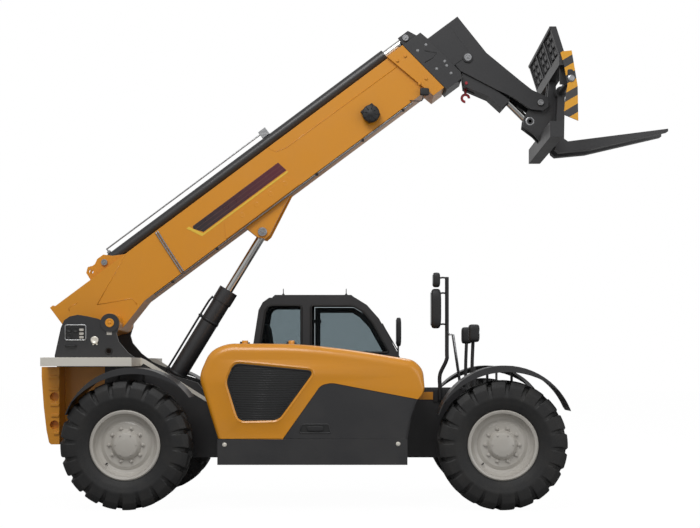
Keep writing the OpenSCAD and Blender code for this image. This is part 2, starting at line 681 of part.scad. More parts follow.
module load_hook() color(hook_red) on_boom() translate([hook_uv[0], 0, hook_uv[1]]) rotate([0, boom_angle, 0]) {
    bar_y([0, 0], hook_pin_r, -neck_y + 15, neck_y - 15);
    translate([0, 0, -90]) cylinder(r = 14, h = 80);
    translate([0, 0, -135]) rotate([90, 0, 0]) rotate_extrude(angle = 270) translate([38, 0]) circle(r = 14);
}

// Fork carriage

module carriage_frame() color(paint_dark) on_carriage() difference() {
    union() {
        // Ears round the carriage pivot and the tilt pin
        both_sides() slab([[-60, 70], [0, 92], [80, 70], [100, 300], [170, 300], [170, -440], [40, -440], [-60, -330],
            [-180, -240], [-170, -160]], 56, neck_inside_y - 10);
        // Cross beams
        translate([90, -plate_y, 230]) cube([110, carriage_w, 120]);
        translate([0, -plate_y, -489]) cube([127, carriage_w, 160]);
        // Backrest: posts, top bar and slats
        for (y = [-plate_y + 1, -plate_y/3 - 30, plate_y/3 - 30, plate_y - 61])
            slab([[100, 300], [160, 300], [60, 616], [0, 616]], y, y + 60);
        for (z = [400, 480, 560]) slab([[z*-0.317 + 215, z - 20], [z*-0.317 + 235, z - 20], [z*-0.317 + 222, z + 20],
            [z*-0.317 + 202, z + 20]], -plate_y + 2, plate_y - 2);
        // Fork shaft, carriage pin and tilt pin stubs
        bar_y(fork_shaft, fork_shaft_r, -plate_y - 20, plate_y + 20);
        both_sides() slab([[110, 60], [250, 60], [250, 240], [110, 240]], plate_y - 120, plate_y - 100);
        bar_y([0, 0], head_pin_r, -165, 165);
        both_sides() bar_y(tilt_eye, tilt_pin_r, 56, neck_inside_y - 6);
    }
}

module stripe(side) color(paint_yellow) on_carriage() on_side(side) difference() {
    slab([[98, 362], [213, 374], [273, 18], [279, -327], [134, -267], [150, -100], [172, 30], [140, 210]],
        plate_y, plate_y + 14);
    bar_y(fork_shaft, fork_shaft_r + pin_gap, plate_y - 5, plate_y + 30);
}

module stripe_left() stripe(1);
module stripe_right() stripe(-1);

module fork(side) color(paint_dark) on_carriage() on_side(side) difference() {
    union() {
        slab([[172, 60], [246, 60], [238, -390], [278, -419], [fork_tip, -286], [fork_tip, -313], [518, -502], [190, -533],
            [150, -500], [140, -460]], fork_y - fork_w/2, fork_y + fork_w/2);
        bar_y(fork_shaft, 62, fork_y - fork_w/2, fork_y + fork_w/2);
    }
    bar_y(fork_shaft, fork_shaft_r + pin_gap, 0, 1000);
}

module fork_left() fork(1);
module fork_right() fork(-1);

// Cylinders, drawn along +X from the base pin

module lift_barrel() color(paint_dark) along(lift_base, lift_slope) difference() {
    union() {
        translate([60, 0, 0]) rotate([0, 90, 0]) cylinder(r = lift_d/2, h = lift_len - lift_exposed - 60);
        translate([lift_len - lift_exposed - 150, 0, 0]) rotate([0, 90, 0]) cylinder(r = lift_d/2 + 9, h = 150);
        bar_y([0, 0], 70, -60, 60);
    }
    translate([200, 0, 0]) rotate([0, 90, 0]) cylinder(r = lift_d/2 - 15, h = lift_len - lift_exposed - 280);
    translate([200, 0, 0]) rotate([0, 90, 0]) cylinder(r = lift_rod_d/2 + pin_gap, h = lift_len);
    bar_y([0, 0], lift_pin_r + pin_gap, -100, 100);
}

module lift_rod() color(steel_bright) along(lift_base, lift_slope) difference() {
    union() {
        translate([900, 0, 0]) rotate([0, 90, 0]) cylinder(r = lift_rod_d/2, h = lift_len - 900);
        bar_y([lift_len, 0], lift_eye_r, -104, 104);
    }
    bar_y([lift_len, 0], lift_pin_r + pin_gap, -110, 110);
}

module tilt_barrel() color(paint_dark) along(tilt_base, tilt_slope) difference() {
    union() {
        translate([40, 0, 0]) rotate([0, 90, 0]) cylinder(r = tilt_d/2, h = 560);
        bar_y([0, 0], 56, -60, 60);
    }
    translate([120, 0, 0]) rotate([0, 90, 0]) cylinder(r = 50, h = 420);
    translate([120, 0, 0]) rotate([0, 90, 0]) cylinder(r = 40 + pin_gap, h = 1000);
    bar_y([0, 0], tilt_pin_r + pin_gap, -100, 100);
}

module tilt_rod() color(steel_bright) along(tilt_base, tilt_slope) difference() {
    union() {
        translate([380, 0, 0]) rotate([0, 90, 0]) cylinder(r = 40, h = tilt_len - 380);
        bar_y([tilt_len, 0], 54, -46, 46);
    }
    bar_y([tilt_len, 0], tilt_pin_r + pin_gap, -100, 100);
}

chassis_frame();
counterweight();
deck_right();
deck_left();
front_axle();
rear_axle();
engine_block();
engine_wall();
side_skirt();
step_tank();
cab_shell();
cab_roof();
cab_glass();
cab_seat();
cab_column();
cab_mirror();
mirror_post();
lamp_post_right();
lamp_post_left();
cab_door();
door_glass();
hood_shell();
hood_panel();
hood_grille();
knuckle_fl();
knuckle_fr();
knuckle_rl();
knuckle_rr();
fender_fl();
fender_fr();
fender_rl();
fender_rr();
rim_fl();
rim_fr();
rim_rl();
rim_rr();
tyre_fl();
tyre_fr();
tyre_rl();
tyre_rr();
boom_base();
extend_barrel();
boom_pipes();
length_reel();
boom_mid();
extend_rod();
boom_inner();
load_hook();
carriage_frame();
stripe_left();
stripe_right();
fork_left();
fork_right();
lift_barrel();
lift_rod();
tilt_barrel();
tilt_rod();
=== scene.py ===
"""Looks of a telescopic handler: paint, rubber, chrome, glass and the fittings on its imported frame."""

import json
import math

import bmesh
import bpy
import numpy as np
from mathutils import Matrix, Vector
from mathutils.geometry import tessellate_polygon


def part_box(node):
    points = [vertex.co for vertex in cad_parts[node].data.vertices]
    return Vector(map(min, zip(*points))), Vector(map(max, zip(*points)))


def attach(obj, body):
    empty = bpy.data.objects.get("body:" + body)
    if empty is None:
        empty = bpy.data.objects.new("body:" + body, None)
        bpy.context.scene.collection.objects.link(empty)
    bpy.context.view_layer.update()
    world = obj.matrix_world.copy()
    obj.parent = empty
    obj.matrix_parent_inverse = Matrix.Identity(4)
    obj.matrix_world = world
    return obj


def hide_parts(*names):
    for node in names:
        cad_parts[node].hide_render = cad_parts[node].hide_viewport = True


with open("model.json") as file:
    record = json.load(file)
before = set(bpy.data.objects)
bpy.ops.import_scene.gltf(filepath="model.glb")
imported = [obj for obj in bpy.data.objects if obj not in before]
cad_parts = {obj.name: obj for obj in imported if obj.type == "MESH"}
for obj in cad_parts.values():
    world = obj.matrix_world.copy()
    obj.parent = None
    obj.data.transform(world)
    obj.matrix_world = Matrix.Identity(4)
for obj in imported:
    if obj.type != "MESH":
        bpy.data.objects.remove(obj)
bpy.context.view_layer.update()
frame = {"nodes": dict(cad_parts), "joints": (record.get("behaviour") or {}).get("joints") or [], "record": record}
nodes = frame["nodes"]
joints = {joint["name"]: joint for joint in frame["joints"]}


def joint_at(name):
    """World place of a joint in millimetres."""
    return np.array(joints[name]["pos_m"]) * 1000.0


# Photograph's frame in pixels, and the camera worked out from it
FRAME_W = 700
FRAME_H = 528
SENSOR_MM = 36.0
FOCAL_PX = 1352.0
PRINCIPAL_PX = (367.5, 365.0)
CAMERA_AT = (0.091, -14.4, 1.425)

# Places in millimetres, from the rear axle along the machine, or along and up from the boom's pivot
REAR_AXLE_X = joint_at("wheel_spin_rl")[0]
BOOM_PIVOT = joint_at("boom_lift")
BOOM_AXIS = np.array(joints["boom_extend"]["axis"])
BOOM_UP = np.array((-BOOM_AXIS[2], 0.0, BOOM_AXIS[0]))
ACROSS = np.array((0.0, 1.0, 0.0))
AHEAD = (1, 0, 0)
UPRIGHT = (0, 0, 1)

# Half widths: the faces of the boom, its collar, the tower and front frame, the hood and the cab
BOOM_FACE = 205.0
COLLAR_FACE = 240.0
NECK_INSIDE = 106.0
FRAME_FACE = 430.0
HOOD_FACE = 1130.0
CAB_INNER = 352.0
CAB_OUTER = 1150.0
CORNERS = ("fl", "fr", "rl", "rr")
SIDES = (-1, 1)
SIDE_NAMES = tuple(zip(SIDES, ("right", "left")))


def machine(x, y, z):
    """World point in millimetres of a place counted from the rear axle."""
    return np.array((REAR_AXLE_X + x, y, z))


def boom(u, v, y):
    """World points in millimetres of places along the boom, up from its pivot and across it."""
    u, v, y = np.broadcast_arrays(np.asarray(u, float), v, y)
    return BOOM_PIVOT + u[..., None] * BOOM_AXIS + v[..., None] * BOOM_UP + y[..., None] * ACROSS


# Material helpers

def linear(hex_colour):
    """Linear RGBA of an sRGB hex colour."""
    srgb = np.array([int(hex_colour[i:i + 2], 16) for i in (1, 3, 5)]) / 255.0
    low = srgb / 12.92
    high = ((srgb + 0.055) / 1.055) ** 2.4
    return (*np.where(srgb <= 0.04045, low, high), 1.0)


def add(tree, kind, inputs=None, **settings):
    """Adds a node: settings are its properties, inputs are plain values or sockets to link."""
    made = tree.nodes.new(kind)
    for name, value in settings.items():
        setattr(made, name, value)
    for name, value in (inputs or {}).items():
        socket = made.inputs[name]
        if isinstance(value, bpy.types.NodeSocket):
            tree.links.new(value, socket)
        else:
            socket.default_value = value
    return made


def per_mm(size_mm):
    """Texture scale, in cells per metre, of a pattern whose cell has this size in millimetres."""
    return 1000.0 / size_mm


def new_material(name):
    """Material with an empty tree."""
    material = bpy.data.materials.new(name)
    material.use_nodes = True
    material.node_tree.nodes.clear()
    return material, material.node_tree


def close(tree, shader):
    """Joins a shader to the material's output."""
    add(tree, "ShaderNodeOutputMaterial", {"Surface": shader.outputs[0]})


def object_place(tree):
    """Place on the object, in metres."""
    return add(tree, "ShaderNodeTexCoord").outputs["Object"]


def noise(tree, place, size_mm, detail, **more):
    """Noise whose cells have about this size in millimetres."""
    inputs = {"Vector": place, "Scale": per_mm(size_mm), "Detail": detail, **more}
    return add(tree, "ShaderNodeTexNoise", inputs).outputs["Fac"]


def ramp(tree, value, source, target):
    """Value carried from one range to another and held at its ends."""
    inputs = {"Value": value, 1: source[0], 2: source[1], 3: target[0], 4: target[1]}
    return add(tree, "ShaderNodeMapRange", inputs).outputs[0]


def maths(tree, operation, *values):
    """Result of a sum on one or two values."""
    return add(tree, "ShaderNodeMath", dict(enumerate(values)), operation=operation).outputs[0]


def vector_maths(tree, operation, first, second):
    """Node for a sum on two vectors."""
    return add(tree, "ShaderNodeVectorMath", {0: first, 1: second}, operation=operation)


def dot(tree, first, second):
    """Dot product of two vectors."""
    return vector_maths(tree, "DOT_PRODUCT", first, second).outputs["Value"]


def blend(tree, share, first, second):
    """Colour between two colours, by a share."""
    return add(tree, "ShaderNodeMix", {0: share, 6: first, 7: second}, data_type="RGBA").outputs[2]


def bump(tree, height, strength, depth_mm, **more):
    """Normal bent by a height."""
    inputs = {"Height": height, "Strength": strength, "Distance": depth_mm / 1000.0, **more}
    return add(tree, "ShaderNodeBump", inputs).outputs[0]


def principled(material, tree, inputs):
    """Closes a material with a principled shader."""
    close(tree, add(tree, "ShaderNodeBsdfPrincipled", inputs))
    return material


EDGE_MM = 5.0
DUST_MM = 420.0
DUST_SHARE = 0.35
DUST_HEIGHTS_M = (0.1, 1.6)
# Orange peel of about 3 mm, drawn larger so that it shows
PEEL_MM = 9.0
# Middle of a noise's values, over which a gloss changes
NOISE_SPAN = (0.3, 0.7)


def sprayed_paint(name, colour, dust, roughness, coat, stripes=None):
    """Two-part enamel sprayed on steel: orange peel in its gloss, edges eased as by a file, dust in broad
    patches that thicken low down. Stripes are a second colour, the direction across them and their pitch."""
    material, tree = new_material(name)
    place = object_place(tree)
    height = add(tree, "ShaderNodeSeparateXYZ", {"Vector": place}).outputs["Z"]
    low = ramp(tree, height, DUST_HEIGHTS_M, (1.0, 0.25))
    broad = noise(tree, place, DUST_MM, 5.0, Roughness=0.6)
    share = maths(tree, "MULTIPLY", low, ramp(tree, broad, (0.42, 0.75), (0.0, DUST_SHARE)))
    base = linear(colour)
    if stripes:
        other, across, pitch_mm = stripes
        turn = maths(tree, "FRACT", dot(tree, place, np.array(across) * per_mm(pitch_mm)))
        base = blend(tree, maths(tree, "GREATER_THAN", turn, 0.5), base, linear(other))
    edge = add(tree, "ShaderNodeBevel", {"Radius": EDGE_MM / 1000.0}, samples=6).outputs[0]
    return principled(material, tree, {
        "Base Color": blend(tree, share, base, linear(dust)),
        "Roughness": ramp(tree, share, (0.0, DUST_SHARE), (roughness, 0.75)),
        "Coat Weight": coat,
        "Coat Roughness": 0.12,
        "Normal": bump(tree, noise(tree, place, PEEL_MM, 2.0), 0.06, 2.0, Normal=edge)})


def moulded_rubber(name, colour, dust, grain_mm):
    """Carbon-black rubber from a mould: matt, greyer where dust sits, with a fine grain."""
    material, tree = new_material(name)
    place = object_place(tree)
    broad = noise(tree, place, 160, 6.0, Roughness=0.65)
    grain = noise(tree, place, grain_mm, 3.0)
    share = ramp(tree, broad, (0.4, 0.75), (0.0, 0.6))
    return principled(material, tree, {
        "Base Color": blend(tree, share, linear(colour), linear(dust)),
        "Roughness": ramp(tree, grain, NOISE_SPAN, (0.5, 0.72)),
        "Normal": bump(tree, grain, 0.15, 2.0)})


def metal(name, colour, roughness, grain_mm, stretch, strength, metallic=1.0):
    """Bare metal: its grain, stretched along the way it was worked, breaks up the gloss."""
    material, tree = new_material(name)
    worked = add(tree, "ShaderNodeMapping", {"Vector": object_place(tree), "Scale": stretch}).outputs[0]
    grain = noise(tree, worked, grain_mm, 4.0)
    return principled(material, tree, {
        "Base Color": linear(colour),
        "Metallic": metallic,
        "Roughness": ramp(tree, grain, NOISE_SPAN, (roughness * 0.7, roughness * 1.4)),
        "Normal": bump(tree, grain, strength, 1.0)})


GLASS_IOR = 1.52


def tinted_glass(name):
    """Tinted safety glass: smooth, dark grey-green, partly see-through."""
    material, tree = new_material(name)
    clear = add(tree, "ShaderNodeBsdfTransparent", {"Color": linear("#D2D8DA")})
    film = noise(tree, object_place(tree), 300, 3.0)
    gloss = add(tree, "ShaderNodeBsdfPrincipled", {
        "Base Color": linear("#23282B"), "Roughness": ramp(tree, film, NOISE_SPAN, (0.02, 0.08)),
        "IOR": GLASS_IOR})
    mirrored = add(tree, "ShaderNodeFresnel", {"IOR": GLASS_IOR}).outputs[0]
    share = ramp(tree, mirrored, (0.0, 1.0), (0.03, 1.0))
    close(tree, add(tree, "ShaderNodeMixShader", {0: share, 1: clear.outputs[0], 2: gloss.outputs[0]}))
    return material


LINE_PITCH_MM = 40.0
LINE_WIDTH_SHARE = 0.1
LINE_STRENGTH = 0.35


def band_film(name, start, end, u_span):
    """Cast vinyl film: fades along the boom from one colour to the other, with fine pale lines along it."""
    material, tree = new_material(name)
    place = object_place(tree)
    from_pivot = vector_maths(tree, "SUBTRACT", place, BOOM_PIVOT / 1000.0).outputs[0]
    u, v = dot(tree, from_pivot, BOOM_AXIS), dot(tree, from_pivot, BOOM_UP)
    fade = ramp(tree, u, (u_span[0] / 1000.0, u_span[1] / 1000.0), (0.0, 1.0))
    turn = maths(tree, "FRACT", maths(tree, "MULTIPLY", v, per_mm(LINE_PITCH_MM)))
    thin = maths(tree, "LESS_THAN", turn, LINE_WIDTH_SHARE)
    tone = blend(tree, fade, linear(start), linear(end))
    film = noise(tree, place, 60, 3.0)
    return principled(material, tree, {
        "Base Color": blend(tree, maths(tree, "MULTIPLY", thin, LINE_STRENGTH), tone, linear("#8C5A4A")),
        "Roughness": ramp(tree, film, NOISE_SPAN, (0.25, 0.4))})


# Twill ribs of about 3 mm, drawn about 14 mm apart so that they show
TWILL_SCALE = 26.526606


def woven_cover(name):
    """Woven seat cloth: diagonal twill ribs with a soft sheen."""
    material, tree = new_material(name)
    place = object_place(tree)
    ribs = add(tree, "ShaderNodeTexWave", {
        "Vector": place, "Scale": TWILL_SCALE, "Distortion": 0.4},
        wave_type="BANDS", bands_direction="DIAGONAL").outputs["Fac"]
    worn = noise(tree, place, 90, 4.0)
    return principled(material, tree, {
        "Base Color": blend(tree, worn, linear("#242628"), linear("#3A3D40")),
        "Roughness": 0.85,
        "Sheen Weight": 0.3,
        "Normal": bump(tree, ribs, 0.3, 1.0)})


PAINT = {
    "yellow_paint": sprayed_paint("enamel_yellow", "#DA8F10", "#A8783A", 0.34, 0.4),
    "dark_paint": sprayed_paint("enamel_charcoal", "#2A2A2C", "#45423E", 0.42, 0.2),
    "rim_paint": sprayed_paint("enamel_silver_grey", "#B7B3AC", "#8F8779", 0.4, 0.2),
    "hook_paint": sprayed_paint("enamel_red", "#A81F2B", "#7A4A40", 0.35, 0.4),
    "grille_mesh": sprayed_paint("enamel_black", "#161718", "#2C2B28", 0.5, 0.1),
    "black_plastic": sprayed_paint("moulded_plastic_black", "#1D1D1F", "#33312F", 0.55, 0.0),
    "tyre_rubber": moulded_rubber("tyre_rubber", "#161617", "#2B2926", 7),
    "bright_steel": metal("hard_chrome", "#D8D8D6", 0.12, 14, (1.0, 1.0, 0.2), 0.02),
    "tread_plate": metal("mill_aluminium", "#E6E2D8", 0.42, 18, (1.0, 6.0, 6.0), 0.1, 0.55),
    "pipe_steel": metal("zinc_plated_steel", "#A9AAAC", 0.3, 12, (0.3, 3.0, 3.0), 0.05),
    "cast_engine": metal("cast_iron", "#57595B", 0.6, 9, (1.0, 1.0, 1.0), 0.4),
    "tinted_glass": tinted_glass("tinted_safety_glass"),
}
STRIPE_PITCH_MM = 150.0
HAZARD = sprayed_paint("enamel_hazard_stripes", "#E5A322", "#8A6A35", 0.36, 0.3,
                       stripes=("#38383A", (-0.5, 0.0, 0.866), STRIPE_PITCH_MM))
SEAL_RUBBER = moulded_rubber("extruded_seal_rubber", "#141415", "#252422", 5)
BAND_U = (1300.0, 2392.0)
BAND_FILM = band_film("cast_vinyl_band", "#2A2629", "#5B1F2C", BAND_U)
SEAT_CLOTH = woven_cover("woven_seat_cloth")
FRESH_YELLOW = sprayed_paint("enamel_bright_yellow", "#E9C23C", "#B58440", 0.34, 0.4)
MIRROR_GLASS = metal("silvered_glass", "#E6EAEC", 0.04, 60, (1.0, 1.0, 1.0), 0.0)

for part in frame["record"]["subparts"]:
    node = nodes[part["node"]]
    node.data.materials.clear()
    node.data.materials.append(PAINT[part["material_slot"]])
for name in ("stripe_left", "stripe_right"):
    nodes[name].data.materials[0] = HAZARD


# Mesh helpers: a shape is (points in millimetres, faces), put into a mesh in metres

def piece(name, body, material, shape, smooth=True):
    """Object with its place in its mesh, from a shape or a list of them: doubles merged so that poles close,
    faces turned outwards."""
    points, faces = joined(shape) if isinstance(shape, list) else shape
    mesh = bpy.data.meshes.new(name)
    mesh.from_pydata((np.asarray(points) / 1000.0).tolist(), [], [list(face) for face in faces])
    work = bmesh.new()
    work.from_mesh(mesh)
    bmesh.ops.remove_doubles(work, verts=work.verts, dist=1e-6)
    bmesh.ops.dissolve_degenerate(work, edges=work.edges, dist=1e-7)
    bmesh.ops.recalc_face_normals(work, faces=work.faces)
    work.to_mesh(mesh)
    work.free()
    mesh.polygons.foreach_set("use_smooth", np.full(len(mesh.polygons), smooth))
    mesh.materials.append(material)
    made = bpy.data.objects.new(name, mesh)
    bpy.context.scene.collection.objects.link(made)
    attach(made, body)
    return made


def painted(name, body, slot, shape, smooth=True):
    """Piece in the paint of its slot."""
    return piece(name, body, PAINT[slot], shape, smooth)


SOFT_EDGE = math.radians(38)


def soften(made):
    """Shades smooth across gentle bends and sharp at edges."""
    made.modifiers.new("edges", "EDGE_SPLIT").split_angle = SOFT_EDGE


def grid_quads(rows, cols):
    """Quads between neighbouring points of a grid whose columns close on themselves."""
    first = np.arange(rows - 1)[:, None] * cols + np.arange(cols)[None, :]
    after = np.arange(rows - 1)[:, None] * cols + (np.arange(cols)[None, :] + 1) % cols
    return np.stack((first, after, after + cols, first + cols), axis=-1).reshape(-1, 4)


def closing_quads(rows, cols):
    """Quads that join a grid's last row to its first."""
    last = (rows - 1) * cols + np.arange(cols)
    after = (rows - 1) * cols + (np.arange(cols) + 1) % cols
    return np.stack((last, after, after - (rows - 1) * cols, last - (rows - 1) * cols), axis=-1)


def loop_wall(front, back):
    """Wall between two closed loops of as many points."""
    return np.concatenate((front, back)), grid_quads(2, len(front))


def joined(shapes):
    """One shape from several."""
    points = []
    faces = []
    count = 0
    for some, quads in shapes:
        points.append(np.asarray(some))
        faces.extend((np.asarray(face) + count).tolist() for face in quads)
        count += len(some)
    return np.concatenate(points), faces


def round_angles(count):
    """Angles spread evenly over a full turn."""
    return np.linspace(0.0, 2.0 * np.pi, count, endpoint=False)


def basis(axis):
    """An axis and two more vectors, of unit length and square to each other."""
    axis = np.asarray(axis, float) / np.linalg.norm(axis)
    side = np.cross(axis, (0.0, 0.0, 1.0) if abs(axis[2]) < 0.9 else (1.0, 0.0, 0.0))
    side /= np.linalg.norm(side)
    return axis, side, np.cross(axis, side)


def turned(at, axis, profile, sides=32):
    """Surface of revolution: each [radius, height] of the profile sweeps a ring round the axis."""
    axis, side, up = basis(axis)
    profile = np.asarray(profile, float)
    angle = round_angles(sides)
    ring = np.cos(angle)[:, None] * side + np.sin(angle)[:, None] * up
    points = np.asarray(at) + profile[:, 1, None, None] * axis + profile[:, 0, None, None] * ring[None]
    return points.reshape(-1, 3), grid_quads(len(profile), sides)


def tube(route, radius, sides=12):
    """Round profile carried along a route, square to it at each point, with flat closed ends."""
    route = np.asarray(route, float)
    tangent = np.gradient(route, axis=0)
    tangent /= np.linalg.norm(tangent, axis=1, keepdims=True)
    flat_axis = np.eye(3)[np.argmin(np.ptp(route, axis=0))]
    side = np.cross(tangent, flat_axis)
    side /= np.linalg.norm(side, axis=1, keepdims=True)
    up = np.cross(tangent, side)
    angle = round_angles(sides)
    ring = np.cos(angle)[None, :, None] * side[:, None, :] + np.sin(angle)[None, :, None] * up[:, None, :]
    first, last = route[:1, None] + 0.0 * ring[:1], route[-1:, None] + 0.0 * ring[-1:]
    rows = np.concatenate((first, route[:, None] + radius * ring, last))
    return rows.reshape(-1, 3), grid_quads(len(rows), sides)


def loop_tube(route, radius, sides):
    """Tube along a route that comes back to its first point."""
    return tube(np.concatenate((route, route[:1])), radius, sides)


def eased(points, step_mm):
    """Catmull-Rom curve through points, sampled about every step."""
    points = np.asarray(points, float)
    ends = np.concatenate((2 * points[:1] - points[1:2], points, 2 * points[-1:] - points[-2:-1]))
    counts = np.maximum(2, (np.linalg.norm(np.diff(points, axis=0), axis=1) / step_mm).astype(int))
    runs = []
    for i, count in enumerate(counts):
        t = np.linspace(0.0, 1.0, count, endpoint=False)[:, None]
        a, b, c, d = ends[i:i + 4]
        square, cube = 2 * a - 5 * b + 4 * c - d, 3 * b - a - 3 * c + d
        runs.append(0.5 * (2 * b + (c - a) * t + square * t ** 2 + cube * t ** 3))
    return np.concatenate(runs + [points[-1:]])


def plate(outline, axis_shift):
    """Flat plate: an outline of world points, and the same outline moved by a vector, joined by a wall."""
    outline = np.asarray(outline, float)
    count = len(outline)
    points = np.concatenate((outline, outline + np.asarray(axis_shift, float)))
    lower = np.arange(count)
    after = (lower + 1) % count
    walls = np.stack((lower, after, after + count, lower + count), axis=-1).tolist()
    return points, [lower[::-1].tolist(), (lower + count).tolist()] + walls


def rounded_box(low, high, bulge, rows, cols):
    """Superellipsoid in a box: cosines and sines of two angles raised to 2/bulge crown its sides."""
    low, high = np.asarray(low, float), np.asarray(high, float)
    lat = np.linspace(-np.pi / 2, np.pi / 2, rows)[:, None]
    lon = np.linspace(-np.pi, np.pi, cols, endpoint=False)[None, :]

    def power(value):
        return np.sign(value) * np.abs(value) ** (2.0 / bulge)

    level = power(np.cos(lat))
    unit = np.stack(np.broadcast_arrays(
        level * power(np.cos(lon)), level * power(np.sin(lon)), power(np.sin(lat))), axis=-1)
    return ((low + high) / 2 + unit * (high - low) / 2).reshape(-1, 3), grid_quads(rows, cols)


def hex_bolt(at, axis, across_mm):
    """Six-sided head with a chamfered top on a round washer."""
    r = across_mm / 1.732
    washer = 1.25 * r
    head = turned(at, axis, [(0, 0.75 * r), (0.8 * r, 0.75 * r), (r, 0.62 * r), (r, 0.1 * r)], 6)
    disc = turned(at, axis, [(0, 0.18 * r), (washer, 0.18 * r), (washer, 0.0), (0, 0.0)], 20)
    return joined((head, disc))


def pin_cap(at, axis, r):
    """Retaining disc of a pin: chamfered rim, dished face and a bolt at its middle."""
    disc = turned(at, axis, [(0, 7), (0.55 * r, 7), (0.62 * r, 10), (0.9 * r, 10), (r, 7), (r, 0), (0, 0)])
    bolt = hex_bolt(np.asarray(at) + 7 * np.asarray(axis, float), axis, 0.5 * r)
    return joined((disc, bolt))


def side_route(points, y):
    """World points on a plane along the machine, from [x, z] counted from the rear axle."""
    return np.array([machine(x, y, z) for x, z in points])


def rounded_outline(points, r, steps=6):
    """Closed outline of [x, z] with each corner replaced by a curve that is tangent to both sides."""
    points = np.asarray(points, float)
    reach = np.broadcast_to(np.asarray(r, float), (len(points),))[:, None]
    back = np.roll(points, 1, axis=0) - points
    on = np.roll(points, -1, axis=0) - points
    back *= reach / np.linalg.norm(back, axis=1, keepdims=True)
    on *= reach / np.linalg.norm(on, axis=1, keepdims=True)
    t = np.linspace(0.0, 1.0, steps)[None, :, None]
    curve = points[:, None] + back[:, None] * (1 - t) ** 2 + on[:, None] * t ** 2
    return curve.reshape(-1, 2)


def moved_in(path, distance):
    """Path of [x, z], run clockwise, moved to its right by a distance, square to itself at each point."""
    along = np.gradient(path, axis=0)
    along /= np.linalg.norm(along, axis=1, keepdims=True)
    return path + distance * np.stack((along[:, 1], -along[:, 0]), axis=1)


def spokes(count):
    """Unit vectors spread evenly round a wheel's axle."""
    angle = np.arange(count) * 2.0 * np.pi / count
    return np.stack((np.cos(angle), 0 * angle, np.sin(angle)), axis=1)


# Wheels: lengths from the wheel's axle and its middle plane

TYRE_R = 638.0
TYRE_W = 394.0
RIM_R = 347.0
TREAD_STEPS = 600
LUG_COUNT = 20
LUG_HALF = 58
LUG_FLANK = 9.0
STUD_COUNT = 10
STUD_R = 335.0 / 2
RIM_FACE = 74.0
HUB_BOLT_COUNT = 6
HUB_BOLT_R = 104
HUB_FACE = 121
HUB_CAP = [(0, 128), (50, 127), (80, 124), (90, 121), (116, 121), (119, 118.2), (119, 117.5)]
VALVE_WAY = np.array((-0.72, 0.0, -0.69))
VALVE_R = 262


def tyre(corner):
    """Lugged tyre within the CAD tyre's outline: each point lies between the carcass and the lugs' tips, by
    how far it is inside a slanted lug, and the lugs of the two shoulders are set half a pitch apart."""
    r, w, bead = TYRE_R, TYRE_W / 2, RIM_R
    sidewall = [(bead - 20.6, w - 64.4), (bead + 1.5, w - 47.6), (bead + 14, w - 35),
                (bead + 60, w - 16), (bead + 120, w)]
    tips = np.array(sidewall + [
        (r - 110, w - 4), (r - 70, w - 8), (r - 40, w - 22), (r - 12, w - 40), (r - 2, w - 66),
        (r, w - 110), (r, 0)])
    base = np.array(sidewall + [
        (r - 122, w - 12), (r - 96, w - 22), (r - 72, w - 36), (r - 48, w - 56), (r - 38, w - 84),
        (r - 36, w - 120), (r - 36, 0)])
    at = np.concatenate(((0, 0.25, 0.5, 1), np.arange(1.25, 11.01, 0.25)))

    def section(points):
        half = np.stack([np.interp(at, np.arange(len(points)), points[:, i]) for i in (0, 1)], axis=1)
        return np.concatenate((half, half[-2::-1] * np.array((1.0, -1.0))))

    top, low = section(tips), section(base)
    angle = round_angles(TREAD_STEPS)
    y = top[:, 1][:, None]
    pitch = 2.0 * np.pi / LUG_COUNT
    centre = 0.30 * np.abs(y) / r + np.where(y < 0, pitch / 2, 0.0)
    off = np.abs((angle[None] - centre + pitch / 2) % pitch - pitch / 2) * r
    inside = np.clip((LUG_HALF + 0.11 * np.abs(y) - off) / LUG_FLANK + 0.5, 0.0, 1.0)[..., None]
    ring = low[:, None] + inside * (top - low)[:, None]
    out = 1 if corner[1] == "l" else -1
    points = joint_at("wheel_spin_" + corner) + np.stack(
        (ring[..., 0] * np.cos(angle), out * ring[..., 1], ring[..., 0] * np.sin(angle)), axis=-1)
    rows, cols = points.shape[:2]
    quads = np.concatenate((grid_quads(rows, cols), closing_quads(rows, cols)))
    made = painted("tyre_tread_" + corner, "wheel_" + corner, "tyre_rubber", (points.reshape(-1, 3), quads))
    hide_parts("tyre_" + corner)
    soften(made)


def wheel_fittings():
    """Nuts on the stud circle, the hub's cap with its bolts, the valve and the tyre of each wheel."""
    for corner in CORNERS:
        wheel = "wheel_" + corner
        centre = joint_at("wheel_spin_" + corner)
        out = ACROSS if corner[1] == "l" else -ACROSS
        feet = [centre + STUD_R * spoke for spoke in spokes(STUD_COUNT)]
        nuts = [hex_bolt(foot + RIM_FACE * out, out, 30) for foot in feet]
        studs = [turned(foot + (RIM_FACE + 12) * out, out, [(0, 14), (8, 14), (9, 11), (9, 0)], 12)
                 for foot in feet]
        bolts = [hex_bolt(centre + HUB_BOLT_R * spoke + HUB_FACE * out, out, 12)
                 for spoke in spokes(HUB_BOLT_COUNT)]
        painted("wheel_nuts_" + corner, wheel, "rim_paint", nuts + studs + bolts, smooth=False)
        painted("hub_cap_" + corner, wheel, "rim_paint", turned(centre, out, HUB_CAP, 48))
        foot = centre + VALVE_R * VALVE_WAY + 62 * out
        stem = eased([foot - 6 * out, foot + 18 * out, foot + 34 * out + 16 * VALVE_WAY], 6)
        piece("valve_" + corner, wheel, SEAL_RUBBER, tube(stem, 6))
        tyre(corner)


# Rear end

FLANK_Y = 695
RIB_PLACES = ((-805, 735), (-832, 915), (-842, 1022), (-852, 1182), (-860, 1300))
RIB_FRONT = -752


